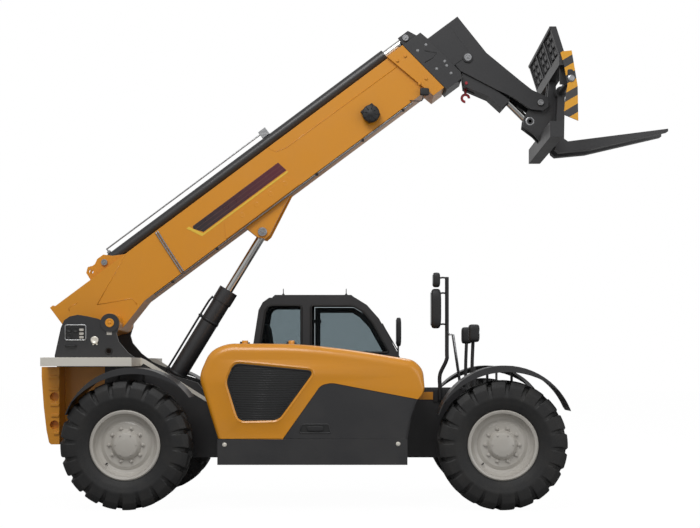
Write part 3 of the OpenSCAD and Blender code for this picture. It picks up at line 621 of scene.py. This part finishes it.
def counterweight_ribs():
    """Crowned ribs across both flanks, above and below the round sockets."""
    ribs = []
    for side in SIDES:
        y = side * FLANK_Y
        ribs += [rounded_box(machine(low, y - 13, z - 16), machine(RIB_FRONT, y + 13, z + 16), 7.0, 12, 32)
                 for low, z in RIB_PLACES]
    painted("counterweight_ribs", "chassis", "yellow_paint", ribs)


def tower_panel():
    """Right of the tower: service panel with its gauges and keys, filler cap, tell-tales, plate, grommet
    and handle."""
    face = -FRAME_FACE
    window = rounded_outline([(-750, 1683), (-537, 1683), (-537, 1839), (-750, 1839)], 18)
    pane = plate(side_route(window, face), -3 * ACROSS)
    painted("tower_panel_pane", "chassis", "black_plastic", pane, smooth=False)
    painted("tower_panel_frame", "chassis", "pipe_steel", loop_tube(side_route(window, face - 3), 7, 8))
    gauges = [turned(machine(x, face - 2, z), -ACROSS, [(0, 6), (20, 6), (25, 9), (29, 9), (30, 0)], 24)
              for x, z in ((-710, 1790), (-640, 1790), (-710, 1722))]
    painted("tower_panel_gauges", "chassis", "grille_mesh", gauges)
    keys = [rounded_box(machine(-604, face - 12, z), machine(-558, face - 2, z + 26), 6.0, 10, 20)
            for z in (1775, 1735, 1698)]
    painted("tower_panel_keys", "chassis", "rim_paint", keys)
    rim = [(0, 14), (22, 14), (26, 18), (36, 18), (40, 14), (40, 0)]
    cap = turned(machine(-445, face, 1683), -ACROSS, rim)
    lamps = [turned(machine(x, face, 1640), -ACROSS, [(0, 7), (8, 6), (11, 0)], 16) for x in (-460, -424)]
    painted("tower_cap", "chassis", "tread_plate", [cap] + lamps)
    tag = rounded_outline([(-322, 1736), (-268, 1736), (-268, 1790), (-322, 1790)], 6)
    painted("tower_tag", "chassis", "rim_paint", plate(side_route(tag, face), -2 * ACROSS), smooth=False)
    grommet = turned(machine(-300, face, 1570), -ACROSS, [(26, 0), (27, 4), (34, 6), (41, 4), (42, 0)])
    piece("tower_grommet", "chassis", SEAL_RUBBER, grommet)
    grip = ((-742, 0), (-735, 22), (-690, 26), (-645, 22), (-638, 0))
    pull = eased([machine(x, face - depth, 1622) for x, depth in grip], 8)
    painted("tower_handle", "chassis", "black_plastic", tube(pull, 8))


def skirt_screws():
    """Two bright screws at the ends of the side skirt."""
    screws = [hex_bolt(machine(x, -HOOD_FACE, z), -ACROSS, 30) for x, z in ((970, 643), (2674, 651))]
    painted("skirt_screws", "chassis", "tread_plate", screws, smooth=False)


LOZENGE_PITCH = 46.0
DECK_TOP = 1498.8
DECK_X = (-840, 20)
DECK_Y = (465, 985)


def deck_tread():
    """Raised lozenges of the tread plate, turned a quarter from one to the next."""
    gx, gy = np.meshgrid(np.arange(*DECK_X, LOZENGE_PITCH), np.arange(*DECK_Y, LOZENGE_PITCH), indexing="ij")
    centre = np.stack((gx.ravel(), gy.ravel()), axis=1)
    odd = (np.indices(gx.shape).sum(axis=0) % 2).ravel()
    turn = np.where(odd, 1.0, -1.0) * math.radians(45)
    shape = np.array(((-17, 0, 0), (0, -5, 0), (17, 0, 0), (0, 5, 0), (-9, 0, 2.2), (9, 0, 2.2)), float)
    c, s = np.cos(turn)[:, None], np.sin(turn)[:, None]
    x = centre[:, :1] + shape[None, :, 0] * c - shape[None, :, 1] * s
    y = centre[:, 1:] + shape[None, :, 0] * s + shape[None, :, 1] * c
    z = np.broadcast_to(DECK_TOP + shape[None, :, 2], x.shape)
    faces = np.array(((0, 1, 4), (0, 4, 3), (1, 2, 5), (2, 3, 5), (1, 5, 4), (3, 4, 5)))
    index = (np.arange(len(centre))[:, None, None] * len(shape) + faces[None]).reshape(-1, 3)
    for side, name in SIDE_NAMES:
        points = np.stack((x + REAR_AXLE_X, side * y, z), axis=-1).reshape(-1, 3)
        painted("deck_tread_" + name, "chassis", "tread_plate", (points, index), smooth=False)


# Boom: places are [along, up] from its pivot

BASE_COLLAR_BOLTS = [(4125, 417), (4030, 426), (4160, 96), (4075, 94)]
MID_COLLAR_BOLTS = [(4374, 389), (4270, 390), (4431, 132), (4315, 120), (4420, 83), (4409, -8)]
COLLAR_MARK = [(4328, 346), (4415, 253), (4352, 235), (4253, 246)]
BRACKET_PLATE = [(1470, 6), (1560, 150), (2382, 150), (2440, 6)]
BRACKET_T = 6
PLUG_WELDS = (1761, 1947, 2132, 2318)
SEAMS = (
    [(2403, 508), (2442, 430), (2552, 399), (3990, 385)],
    [(-21, 264), (248, 384), (520, 505)],
    [(-21, 264), (312, 96), (313, 15)],
    [(-166, 404), (-281, 417), (-297, 385)],
)


def boom_line(places, y):
    """World points of places along and up the boom, on a plane across it."""
    u, v = np.array(places, float).T
    return boom(u, v, y)


def boom_bolts(places, across_mm, y):
    """Bolts on both faces of the boom at places along and up it."""
    return [hex_bolt(boom(u, v, side * y), side * ACROSS, across_mm) for side in SIDES for u, v in places]


def boom_caps(name, body, slot, places):
    """Pin caps on both sides of the boom, at [along, up, across] with their radius."""
    caps = [pin_cap(boom(u, v, side * y), side * ACROSS, r) for u, v, y, r in places for side in SIDES]
    painted(name, body, slot, caps, smooth=False)


def boom_fittings():
    """Bolts and marks of the collars, side plates of the lift bracket with plug welds, seams and pin caps."""
    base_bolts = boom_bolts(BASE_COLLAR_BOLTS, 26, COLLAR_FACE)
    painted("base_collar_bolts", "boom", "yellow_paint", base_bolts, smooth=False)
    mid_bolts = boom_bolts(MID_COLLAR_BOLTS, 20, BOOM_FACE)
    painted("mid_collar_bolts", "mid_section", "pipe_steel", mid_bolts, smooth=False)
    marks = [tube(boom_line(COLLAR_MARK, side * BOOM_FACE), 4, 6) for side in SIDES]
    painted("collar_marks", "mid_section", "grille_mesh", marks)
    plates = []
    welds = []
    seams = []
    for side in SIDES:
        y = side * BOOM_FACE
        plates.append(plate(boom_line(rounded_outline(BRACKET_PLATE, 24), y), side * BRACKET_T * ACROSS))
        bead = [(0, -2), (14, -1), (20, 2), (25, 1), (27, 0)]
        welds += [turned(boom(u, 105, y + side * BRACKET_T), side * ACROSS, bead, 24) for u in PLUG_WELDS]
        seams += [tube(boom_line(seam, y), 4, 8) for seam in SEAMS]
    painted("bracket_side_plates", "boom", "yellow_paint", plates, smooth=False)
    painted("plug_welds", "boom", "yellow_paint", welds)
    painted("boom_seams", "boom", "yellow_paint", seams)
    boom_caps("boom_pin_caps", "boom", "pipe_steel", [(1825, -155, 158, 48), (292, 592, 104, 34)])
    boom_caps("extension_pin_caps", "mid_section", "pipe_steel", [(4263, 592, 104, 34)])
    boom_caps("neck_pin_caps", "inner_section", "pipe_steel", [(4657, 25, 168, 40)])
    tower = [pin_cap(BOOM_PIVOT + side * 444 * ACROSS, side * ACROSS, 46) for side in SIDES]
    painted("pivot_pin_caps", "chassis", "yellow_paint", tower, smooth=False)


FILM_T = 0.6


def boom_band():
    """Dark band with a bright line below it on both faces of the boom, its rear end cut on the slant."""
    end = BAND_U[1]
    band = [(1330, 208), (1262, 300), (1275, 325), (end, 325), (end + 22, 208)]
    line = [(1290, 180), (1205, 345), (1238, 345), (1318, 198), (end + 24, 198), (end + 28, 180)]
    films = (("boom_band_", BAND_FILM, "dark_paint", band),
             ("boom_line_", FRESH_YELLOW, "yellow_paint", line))
    for side, name in SIDE_NAMES:
        for start, film, slot, outline in films:
            shape = plate(boom_line(outline, side * (BOOM_FACE + FILM_T)), side * FILM_T * ACROSS)
            piece(start + name, "boom", film, shape, smooth=False)


REEL_U = 3470.0
REEL_V = 141.0
REEL_COVER = [(0, 12), (30, 12), (36, 8), (70, 8), (82, 3), (90, 0), (90, -6), (0, -6)]
CLIP_U = (760, 1340, 2650, 3250, 3780)
CLIP_V = -9.3


def boom_hoses():
    """Cover of the length reel, proximity switch of the collar, pipes that cross the right face, and the
    clips of the pipes below."""
    cover = turned(boom(REEL_U, REEL_V, -BOOM_FACE - 110), -ACROSS, REEL_COVER, 40)
    turn = np.arange(8) * np.pi / 4
    ribs = [tube(np.array([boom(REEL_U + 40 * c, REEL_V + 40 * s, -BOOM_FACE - 119),
                           boom(REEL_U + 80 * c, REEL_V + 80 * s, -BOOM_FACE - 115)]), 4, 8)
            for c, s in zip(np.cos(turn), np.sin(turn))]
    painted("reel_cover", "boom", "black_plastic", [cover] + ribs)
    switch = rounded_box((-48, -22, -38), (48, 22, 38), 6.0, 12, 24)
    placed = boom(4060, -6, -COLLAR_FACE - 21) + switch[0]
    wire = eased(boom_line([(4030, -25), (3985, -60), (3930, -20), (3890, 20)], -COLLAR_FACE - 10), 10)
    wire[:, 1] = np.linspace(-COLLAR_FACE - 14, -BOOM_FACE - 6, len(wire))
    painted("proximity_switch", "boom", "black_plastic", [(placed, switch[1]), tube(wire, 5, 8)])
    crossing = ((924, 505), (912, 380), (896, 130), (888, -4))
    pipes = [tube(eased([boom(u + shift, v, -BOOM_FACE - 9) for u, v in crossing], 20), 8)
             for shift in (0, 24)]
    painted("crossing_pipes", "boom", "pipe_steel", pipes)
    clips = [rounded_box(boom(u, CLIP_V, -198) - np.array((16, 0, 20)),
                         boom(u, CLIP_V, -152) + np.array((16, 0, 8)), 8.0, 8, 16)
             for u in CLIP_U]
    painted("pipe_clips", "boom", "black_plastic", clips)


# Fork carriage: places from its pin

EAR_FACE = NECK_INSIDE - 10.0
BACKREST_BARS = 9
BACKREST_HALF = 790
RAIL_HALF = 898
STRIPE_FACE = 914.0


def carriage_line(head, places, y):
    """World points of [x, z] from the carriage's pin, on a plane across it."""
    return head + np.array([(x, y, z) for x, z in places], float)


def carriage_fittings():
    """Bars of the backrest, caps on the carriage pins and fork shaft, and the slot of each striped plate."""
    head = joint_at("carriage_tilt")
    lean = [(104, 302), (156, 302), (62, 614), (8, 614)]
    bars = [plate(carriage_line(head, lean, y) - 7 * ACROSS, 14 * ACROSS)
            for y in np.linspace(-BACKREST_HALF, BACKREST_HALF, BACKREST_BARS)]
    rail = carriage_line(head, [(0, 592), (66, 592), (58, 617), (-6, 617)], -RAIL_HALF)
    bars.append(plate(rail, 2 * RAIL_HALF * ACROSS))
    painted("backrest_bars", "carriage", "dark_paint", bars, smooth=False)
    caps = []
    slots = []
    for side in SIDES:
        out = side * ACROSS
        for place, profile in (
                ((0, side * 165, 0), [(0, 6), (16, 6), (20, 9), (30, 9), (33, 6), (33, 0)]),
                ((-105, side * EAR_FACE, -186), [(0, 4), (16, 4), (20, 3), (42, 4), (46, 2), (46, 0)]),
                ((209, side * 920, 96), [(0, 6), (22, 6), (28, 4), (35, 0)])):
            caps.append(turned(head + np.array(place), out, profile))
        oval = rounded_outline([(178, 66), (240, 66), (228, 186), (166, 186)], 30)
        slots.append(plate(carriage_line(head, oval, side * STRIPE_FACE), side * 3 * ACROSS))
    painted("carriage_pin_caps", "carriage", "pipe_steel", caps, smooth=False)
    painted("stripe_plate_slots", "carriage", "dark_paint", slots, smooth=False)


# Lift cylinder: places are [along, up] from its foot pin

LIFT_PIPE = ((260, 92), (300, 122), (700, 122), (1380, 122), (1420, 100))
CLAMP = [(95, 0), (99, 0), (99, 34), (95, 34)]
CLAMPS_AT = (520, 1180)


def lift_cylinder_pipe():
    """Oil pipe along the lift cylinder's barrel, held by two clamps."""
    base = joint_at("lift_cylinder_swing")
    along = np.array(joints["lift_piston_slide"]["axis"])
    up = np.array((-along[2], 0.0, along[0]))
    route = eased([base + far * along + high * up for far, high in LIFT_PIPE], 20)
    painted("lift_pipe", "lift_cylinder", "black_plastic", tube(route, 11))
    clamps = [turned(base + far * along, along, CLAMP, 48) for far in CLAMPS_AT]
    middles = [base + (far + 17) * along + 118 * up for far in CLAMPS_AT]
    blocks = [rounded_box(middle - 20, middle + 20, 6.0, 10, 20) for middle in middles]
    painted("lift_pipe_clamps", "lift_cylinder", "black_plastic", clamps + blocks)


# Hood

HOOD_LOW = 700.0
HOOD_INNER = 460.0
HOOD_SHEET_M = 0.018
SHOULDER_R = 90.0
HINGE_X = (1080, 1560)
HOOD = [(902, 700), (707, 1312), (815, 1560), (984, 1638), (1706, 1633), (2231, 1573), (2830, 1476),
        (2923, 1378), (2938, 1168), (2863, 1085), (2800, 927), (2757, 700)]
HOOD_CORNERS = [1, 90, 90, 90, 220, 220, 60, 60, 50, 50, 60, 1]
GRILLE = [(1067, 1438), (1841, 1363), (1496, 890), (1112, 882), (992, 1265)]
PANEL = [(2750, 705), (2790, 927), (2850, 1092), (2021, 1250), (1916, 1228), (1545, 705)]


def hood_dark(made):
    """Paints the hood dark below the panel's upper line at its front, and along the panel's sill."""
    made.data.materials.append(PAINT["dark_paint"])
    middle = np.zeros(3 * len(made.data.polygons))
    made.data.polygons.foreach_get("center", middle)
    x, _, z = (middle.reshape(-1, 3) * 1000.0 - machine(0, 0, 0)).T
    dark = (z < 1250 - 0.19 * (x - 2021)) & ((x > 2640) | ((z < 712) & (x > 1545)))
    made.data.polygons.foreach_set("material_index", dark.astype(int))


def hood_skin():
    """Pressed hood: the CAD outline carried across, a round shoulder to the side, and the side pierced for
    the grille, in a bevelled surround, and for the dark panel."""
    face = -HOOD_FACE
    path = rounded_outline(HOOD, HOOD_CORNERS, 8)[7:-7]
    path[[0, -1]] = HOOD[0], HOOD[-1]
    # Wide shoulder along the top, closing to a crisp edge low down
    rise = np.clip((path[:, 1] - 1120.0) / 250.0, 0.0, 1.0)
    r = np.where(path[:, 0] < 1500.0, 50.0 + 40.0 * rise, 4.0 + (SHOULDER_R - 4.0) * rise)
    rows = [side_route(path, -HOOD_INNER)]
    for a in np.linspace(0.0, np.pi / 2, 9):
        line = moved_in(path, (r * (1 - math.cos(a)))[:, None])
        line[[0, -1], 1] = HOOD_LOW
        row = side_route(line, face)
        row[:, 1] += r * (1 - math.sin(a))
        rows.append(row)
    count = len(path)
    first = (np.arange(len(rows) - 1)[:, None] * count + np.arange(count - 1)[None]).ravel()
    walls = np.stack((first, first + 1, first + 1 + count, first + count), axis=-1)
    grille = rounded_outline(GRILLE, 60, 8)
    looped = np.concatenate((grille[-1:], grille, grille[:1]))
    surround, ridge = (moved_in(looped, -reach)[1:-1] for reach in (42, 26))
    panel = rounded_outline(PANEL, [1, 10, 10, 40, 40, 1], 6)
    loops = [np.concatenate((rows[-1], side_route(panel, face))), side_route(surround, face)]
    triangles = tessellate_polygon([[Vector(point / 1000.0) for point in loop] for loop in loops])
    flat = (np.concatenate(loops), [list(triangle) for triangle in triangles])
    lip = loop_wall(side_route(surround, face), side_route(ridge, face - 9))
    bevel = loop_wall(side_route(ridge, face - 9), side_route(grille, face + 7))
    sill = loop_wall(side_route(panel, face), side_route(panel, face + 8))
    shape = joined(((np.concatenate(rows), walls), flat, lip, bevel, sill))
    made = painted("hood_skin", "hood", "yellow_paint", shape)
    hood_dark(made)
    wall = made.modifiers.new("sheet", "SOLIDIFY")
    wall.thickness = HOOD_SHEET_M
    wall.offset = -1.0
    soften(made)
    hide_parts("hood_shell")
    ring = [(15, 0), (15, 60), (26, 60), (26, 0), (15, 0)]
    eyes = [turned(machine(x, -447, 1652), AHEAD, ring, 24) for x in HINGE_X]
    feet = [rounded_box(machine(x, -510, 1618), machine(x + 60, -452, 1646), 12.0, 10, 24) for x in HINGE_X]
    painted("hood_hinge_eyes", "hood", "yellow_paint", eyes + feet)


def grille_wires():
    """Level wires across the grille, each cut to the outline."""
    start, end = np.array(GRILLE, float), np.roll(np.array(GRILLE, float), -1, axis=0)
    wires = []
    for z in np.arange(905, 1412, 23):
        cut = (start[:, 1] - z) * (end[:, 1] - z) < 0
        a, b = start[cut], end[cut]
        ends = np.sort(a[:, 0] + (z - a[:, 1]) / (b[:, 1] - a[:, 1]) * (b[:, 0] - a[:, 0]))
        wires.append(tube(side_route([(ends[0] + 12, z), (ends[-1] - 12, z)], -HOOD_FACE + 6), 3, 6))
    painted("grille_wires", "hood", "dark_paint", wires)


def hood_fittings():
    """Pressed skin, gasket and wires of the grille, latch recess and lever, and a front bracket."""
    hood_skin()
    gasket = loop_tube(side_route(rounded_outline(GRILLE, 60), -HOOD_FACE + 7), 9, 10)
    piece("grille_gasket", "hood", SEAL_RUBBER, gasket)
    grille_wires()
    recess = rounded_outline([(1705, 757), (2014, 757), (1990, 843), (1729, 843)], 16)
    painted("latch_frame", "hood", "dark_paint", loop_tube(side_route(recess, -HOOD_FACE + 3), 6, 8))
    pan = plate(side_route(recess, -HOOD_FACE + 4), -0.8 * ACROSS)
    painted("latch_pan", "hood", "grille_mesh", pan, smooth=False)
    lever = rounded_box(machine(1780, -HOOD_FACE - 10, 775), machine(1940, -HOOD_FACE + 4, 826), 5.0, 12, 32)
    painted("latch_lever", "hood", "black_plastic", lever)
    outline = rounded_outline([(2901, 1068), (3052, 1068), (3052, 1146), (2930, 1146)], 8)
    bracket = plate(side_route(outline, -FRAME_FACE), -8 * ACROSS)
    painted("hood_bracket", "chassis", "yellow_paint", bracket, smooth=False)


# Cab

AERIALS = ((1451, 420), (2140, 420))
ROOF_TOP = 2190
REAR_QUARTER = [(1200, 1560), (1200, 1630), (1262, 2030), (1310, 2075), (1653, 2075), (1653, 1560)]
FRONT_QUARTER = [(1757, 1560), (1757, 2075), (2215, 2075), (2325, 2010), (2430, 1880), (2610, 1560)]


def cab_fittings():
    """Window seals, roof aerials, door handle and wiper."""
    seals = []
    for outline, faces in ((REAR_QUARTER, (CAB_INNER, CAB_OUTER)), (FRONT_QUARTER, (CAB_INNER,))):
        line = rounded_outline(outline, 34)
        seals += [loop_tube(side_route(line, y), 13, 10) for y in faces]
    piece("window_seals", "chassis", SEAL_RUBBER, seals)
    whips = [turned(machine(x, y, ROOF_TOP + 6), UPRIGHT, [(0, 66), (4, 64), (5, 12), (6, 0)], 12)
             for x, y in AERIALS]
    feet = [turned(machine(x, y, ROOF_TOP), UPRIGHT, [(0, 16), (9, 16), (16, 4), (18, 0), (0, 0)], 20)
            for x, y in AERIALS]
    piece("roof_aerials", "chassis", SEAL_RUBBER, whips + feet)
    grip = ((0, 1180), (34, 1195), (38, 1260), (34, 1325), (0, 1340))
    pull = eased([machine(2560, CAB_OUTER + depth, z) for depth, z in grip], 10)
    painted("door_handle", "door", "black_plastic", tube(pull, 10))
    arm = np.array([machine(2700, 640, 1560), machine(2650, 700, 1650), machine(2560, 800, 1810)])
    blade = np.array([machine(2640, 800, 1660), machine(2560, 800, 1806), machine(2520, 800, 1880)])
    lift = np.array((18.0, 0.0, 12.0))
    painted("wiper", "chassis", "black_plastic", [tube(arm + lift, 6, 8), tube(blade + lift, 7, 8)])


def right_mirrors():
    """Bent post with two mirror housings on arms, its foot on the frame, and the strut that steadies it."""
    y = -FRAME_FACE
    bends = ((3120, 28, 1052), (3120, 28, 1200), (3122, 29, 1330), (3186, 58, 1478), (3190, 60, 1600),
             (3190, 60, 2330))
    post = tube(eased([machine(x, y - out, z) for x, out, z in bends], 20), 20, 16)
    foot = rounded_box(machine(3050, y - 15, 1040), machine(3180, y, 1170), 20.0, 12, 40)
    arms = []
    for z in (1840, 2160, 2318):
        line = [machine(3190, y - 60, z), machine(3150, y - 64, z + 6), machine(3110, y - 74, z)]
        arms.append(tube(eased(line, 10), 9))
    large = rounded_box(machine(3020, y - 200, 1800), machine(3128, y - 10, 2205), 4.5, 28, 56)
    small = rounded_box(machine(3040, y - 180, 2222), machine(3118, y - 30, 2372), 4.0, 24, 48)
    made = painted("mirror_post_right", "chassis", "black_plastic", [post, foot, large, small] + arms)
    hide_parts("mirror_post")
    strut = np.array([machine(3196, y - 60, 1742), machine(3253, y - 52, 1735), machine(3335, y - 12, 1190)])
    painted("mirror_strut", "chassis", "pipe_steel", tube(strut, 15, 12))


def left_mirror():
    """Mirror housing on a short stem at the cab's front corner."""
    y = CAB_OUTER
    line = [machine(2725, y - 40, 1490), machine(2725, y - 40, 1600), machine(2730, y - 20, 1700)]
    stem = tube(eased(line, 15), 10)
    bracket = rounded_box(machine(2706, y - 60, 1470), machine(2742, y - 20, 1530), 12.0, 10, 24)
    shell = rounded_box(machine(2700, y - 65, 1640), machine(2762, y + 65, 1970), 4.5, 28, 56)
    made = painted("mirror_left", "chassis", "black_plastic", [stem, bracket, shell])
    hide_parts("cab_mirror")


LENS = [(0, 11), (30, 10), (52, 8), (62, 4), (68, 7), (74, 5), (74, 0)]


def mirrors_and_lamps():
    """Moulded housings on their posts, with mirror glass to the rear and lenses to the front."""
    right_mirrors()
    left_mirror()
    y = -FRAME_FACE
    panes = []
    for x, (y0, y1), (z0, z1) in (
            (3020, (y - 178, y - 32), (1832, 2172)),
            (3040, (y - 160, y - 50), (2240, 2354)),
            (2700, (CAB_OUTER - 48, CAB_OUTER + 48), (1668, 1942))):
        outline = rounded_outline([(y0, z0), (y1, z0), (y1, z1), (y0, z1)], 24)
        world = np.stack((np.full(len(outline), REAR_AXLE_X + x + 3), outline[:, 0], outline[:, 1]), axis=1)
        panes.append(plate(world, (-4.0, 0.0, 0.0)))
    piece("mirror_panes", "chassis", MIRROR_GLASS, panes, smooth=False)
    for side, name in SIDE_NAMES:
        near, far = sorted((side * (FRAME_FACE - 5), side * (FRAME_FACE + 165)))
        shell = rounded_box(machine(3410, near, 1660), machine(3522, far, 1842), 5.0, 28, 56)
        line = ((3455, 25, 1120), (3452, 25, 1400), (3462, 30, 1690))
        stand = tube(eased([machine(x, side * (FRAME_FACE + out), z) for x, out, z in line], 30), 18, 16)
        near, far = sorted((side * FRAME_FACE, side * (FRAME_FACE + 50)))
        base = rounded_box(machine(3410, near, 1080), machine(3500, far, 1170), 14.0, 12, 32)
        made = painted("lamp_" + name, "chassis", "black_plastic", [shell, stand, base])
        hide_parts("lamp_post_" + name)
        lens = turned(machine(3514, side * (FRAME_FACE + 80), 1751), AHEAD, LENS, 40)
        piece("lamp_lens_" + name, "chassis", MIRROR_GLASS, lens)


CUSHION_Z = (1285, 1388)
BACK_MIDDLE_Z = 1630
BACK_LEAN = math.radians(8)
GROOVE_MM = 6.0
GROOVE_HALF = 9.0


def seat():
    """Cushion and backrest of the seat: crowned superellipsoids with sewn channels pressed in as bell-shaped
    grooves."""
    low, high = (np.array(v) * 1000.0 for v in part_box("cab_seat"))
    middle_y = (low[1] + high[1]) / 2

    def channels(points, axis, pitch):
        across = points[:, 1] - middle_y
        groove = np.exp(-((np.abs((across / pitch + 0.5) % 1.0 - 0.5) * pitch) / GROOVE_HALF) ** 2)
        points[:, axis] -= GROOVE_MM * groove * np.sign(points[:, axis] - points[:, axis].mean())
        return points

    cushion = rounded_box((low[0] + 60, low[1] + 4, CUSHION_Z[0]), (low[0] + 540, high[1] - 4, CUSHION_Z[1]),
                          5.0, 40, 80)
    shape = channels(cushion[0], 2, 120.0), cushion[1]
    made = piece("seat_cushion", "chassis", SEAT_CLOTH, shape)
    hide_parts("cab_seat")
    back = rounded_box((-52, low[1] + 24, -255), (52, high[1] - 24, 255), 4.5, 40, 80)
    points = channels(back[0], 0, 110.0)
    x, z = points[:, 0].copy(), points[:, 2].copy()
    points[:, 0] = low[0] + 70 + x * math.cos(BACK_LEAN) - z * math.sin(BACK_LEAN)
    points[:, 2] = BACK_MIDDLE_Z + x * math.sin(BACK_LEAN) + z * math.cos(BACK_LEAN)
    rest = piece("seat_back", "chassis", SEAT_CLOTH, (points, back[1]))
    box = rounded_box((low[0] + 66, low[1] + 10, low[2] + 1), (low[0] + 470, high[1] - 10, CUSHION_Z[0] + 3),
                      14.0, 24, 64)
    painted("seat_base", "chassis", "black_plastic", box)


# Stage, light and camera

FLOOR_HALF_M = 60.0
FLOOR_LIFT_SHARE = 0.9
FLOOR_LIFT = 1.09
WHITE = (1.0, 1.0, 1.0, 1.0)
# Strength of the white world in diffuse light and in reflections
WORLD_LIGHT = (0.42, 0.5)
LAMP_AIM = np.array((0.0, 0.0, 1.8))
# Place in metres, size in metres and power in watts of each lamp
LAMPS = {
    "key": ((-3.0, -9.0, 11.5), 6.5, 820.0),
    "fill": ((8.0, -10.0, 4.0), 8.0, 240.0),
    "rim": ((3.0, 7.0, 14.0), 6.0, 520.0),
}


def floor_material():
    """Matt studio floor, lifted for the camera towards the backdrop's white so that only shadows show."""
    material, tree = new_material("studio_floor")
    rays = add(tree, "ShaderNodeLightPath")
    seen = maths(tree, "MULTIPLY", rays.outputs["Is Camera Ray"], FLOOR_LIFT_SHARE)
    matt = add(tree, "ShaderNodeBsdfDiffuse", {"Color": linear("#9A9A9A")})
    lift = add(tree, "ShaderNodeEmission", {"Color": WHITE, "Strength": FLOOR_LIFT})
    close(tree, add(tree, "ShaderNodeMixShader", {0: seen, 1: matt.outputs[0], 2: lift.outputs[0]}))
    return material


def studio():
    """Floor, white backdrop in the world, and three large soft lamps."""
    half = FLOOR_HALF_M
    mesh = bpy.data.meshes.new("studio_floor")
    corners = [(-half, -half, 0), (half, -half, 0), (half, half, 0), (-half, half, 0)]
    mesh.from_pydata(corners, [], [(0, 1, 2, 3)])
    floor = bpy.data.objects.new("studio_floor", mesh)
    floor.data.materials.append(floor_material())
    bpy.context.scene.collection.objects.link(floor)
    world = bpy.data.worlds.new("studio_world")
    bpy.context.scene.world = world
    world.use_nodes = True
    tree = world.node_tree
    tree.nodes.clear()
    rays = add(tree, "ShaderNodeLightPath").outputs
    seen = maths(tree, "MAXIMUM", rays["Is Camera Ray"], rays["Is Transmission Ray"])
    soft = ramp(tree, rays["Is Glossy Ray"], (0.0, 1.0), WORLD_LIGHT)
    strength = add(tree, "ShaderNodeMix", {0: seen, 2: soft, 3: 1.0}, data_type="FLOAT").outputs[0]
    back = add(tree, "ShaderNodeBackground", {"Color": WHITE, "Strength": strength})
    add(tree, "ShaderNodeOutputWorld", {"Surface": back.outputs[0]})
    for name, (at, size, power) in LAMPS.items():
        light = bpy.data.lights.new(name, "AREA")
        light.size = size
        light.energy = power
        lamp = bpy.data.objects.new(name, light)
        lamp.location = at
        aim = LAMP_AIM - np.array(at)
        tilt = math.atan2(math.hypot(aim[0], aim[1]), -aim[2])
        lamp.rotation_euler = (tilt, 0.0, math.atan2(-aim[0], aim[1]))
        bpy.context.scene.collection.objects.link(lamp)


def camera():
    """Camera of the photograph: level, looking along +Y, with the frame shifted about its principal point."""
    data = bpy.data.cameras.new("camera")
    data.sensor_width = SENSOR_MM
    data.lens = FOCAL_PX * SENSOR_MM / FRAME_W
    data.shift_x = (FRAME_W / 2 - PRINCIPAL_PX[0]) / FRAME_W
    data.shift_y = (PRINCIPAL_PX[1] - FRAME_H / 2) / FRAME_W
    made = bpy.data.objects.new("camera", data)
    made.location = CAMERA_AT
    made.rotation_euler = (math.pi / 2, 0.0, 0.0)
    bpy.context.scene.collection.objects.link(made)
    bpy.context.scene.camera = made


camera()
studio()
wheel_fittings()
counterweight_ribs()
tower_panel()
skirt_screws()
deck_tread()
boom_fittings()
boom_band()
boom_hoses()
carriage_fittings()
lift_cylinder_pipe()
hood_fittings()
cab_fittings()
mirrors_and_lamps()
seat()
bpy.context.scene.view_settings.view_transform = "Standard"
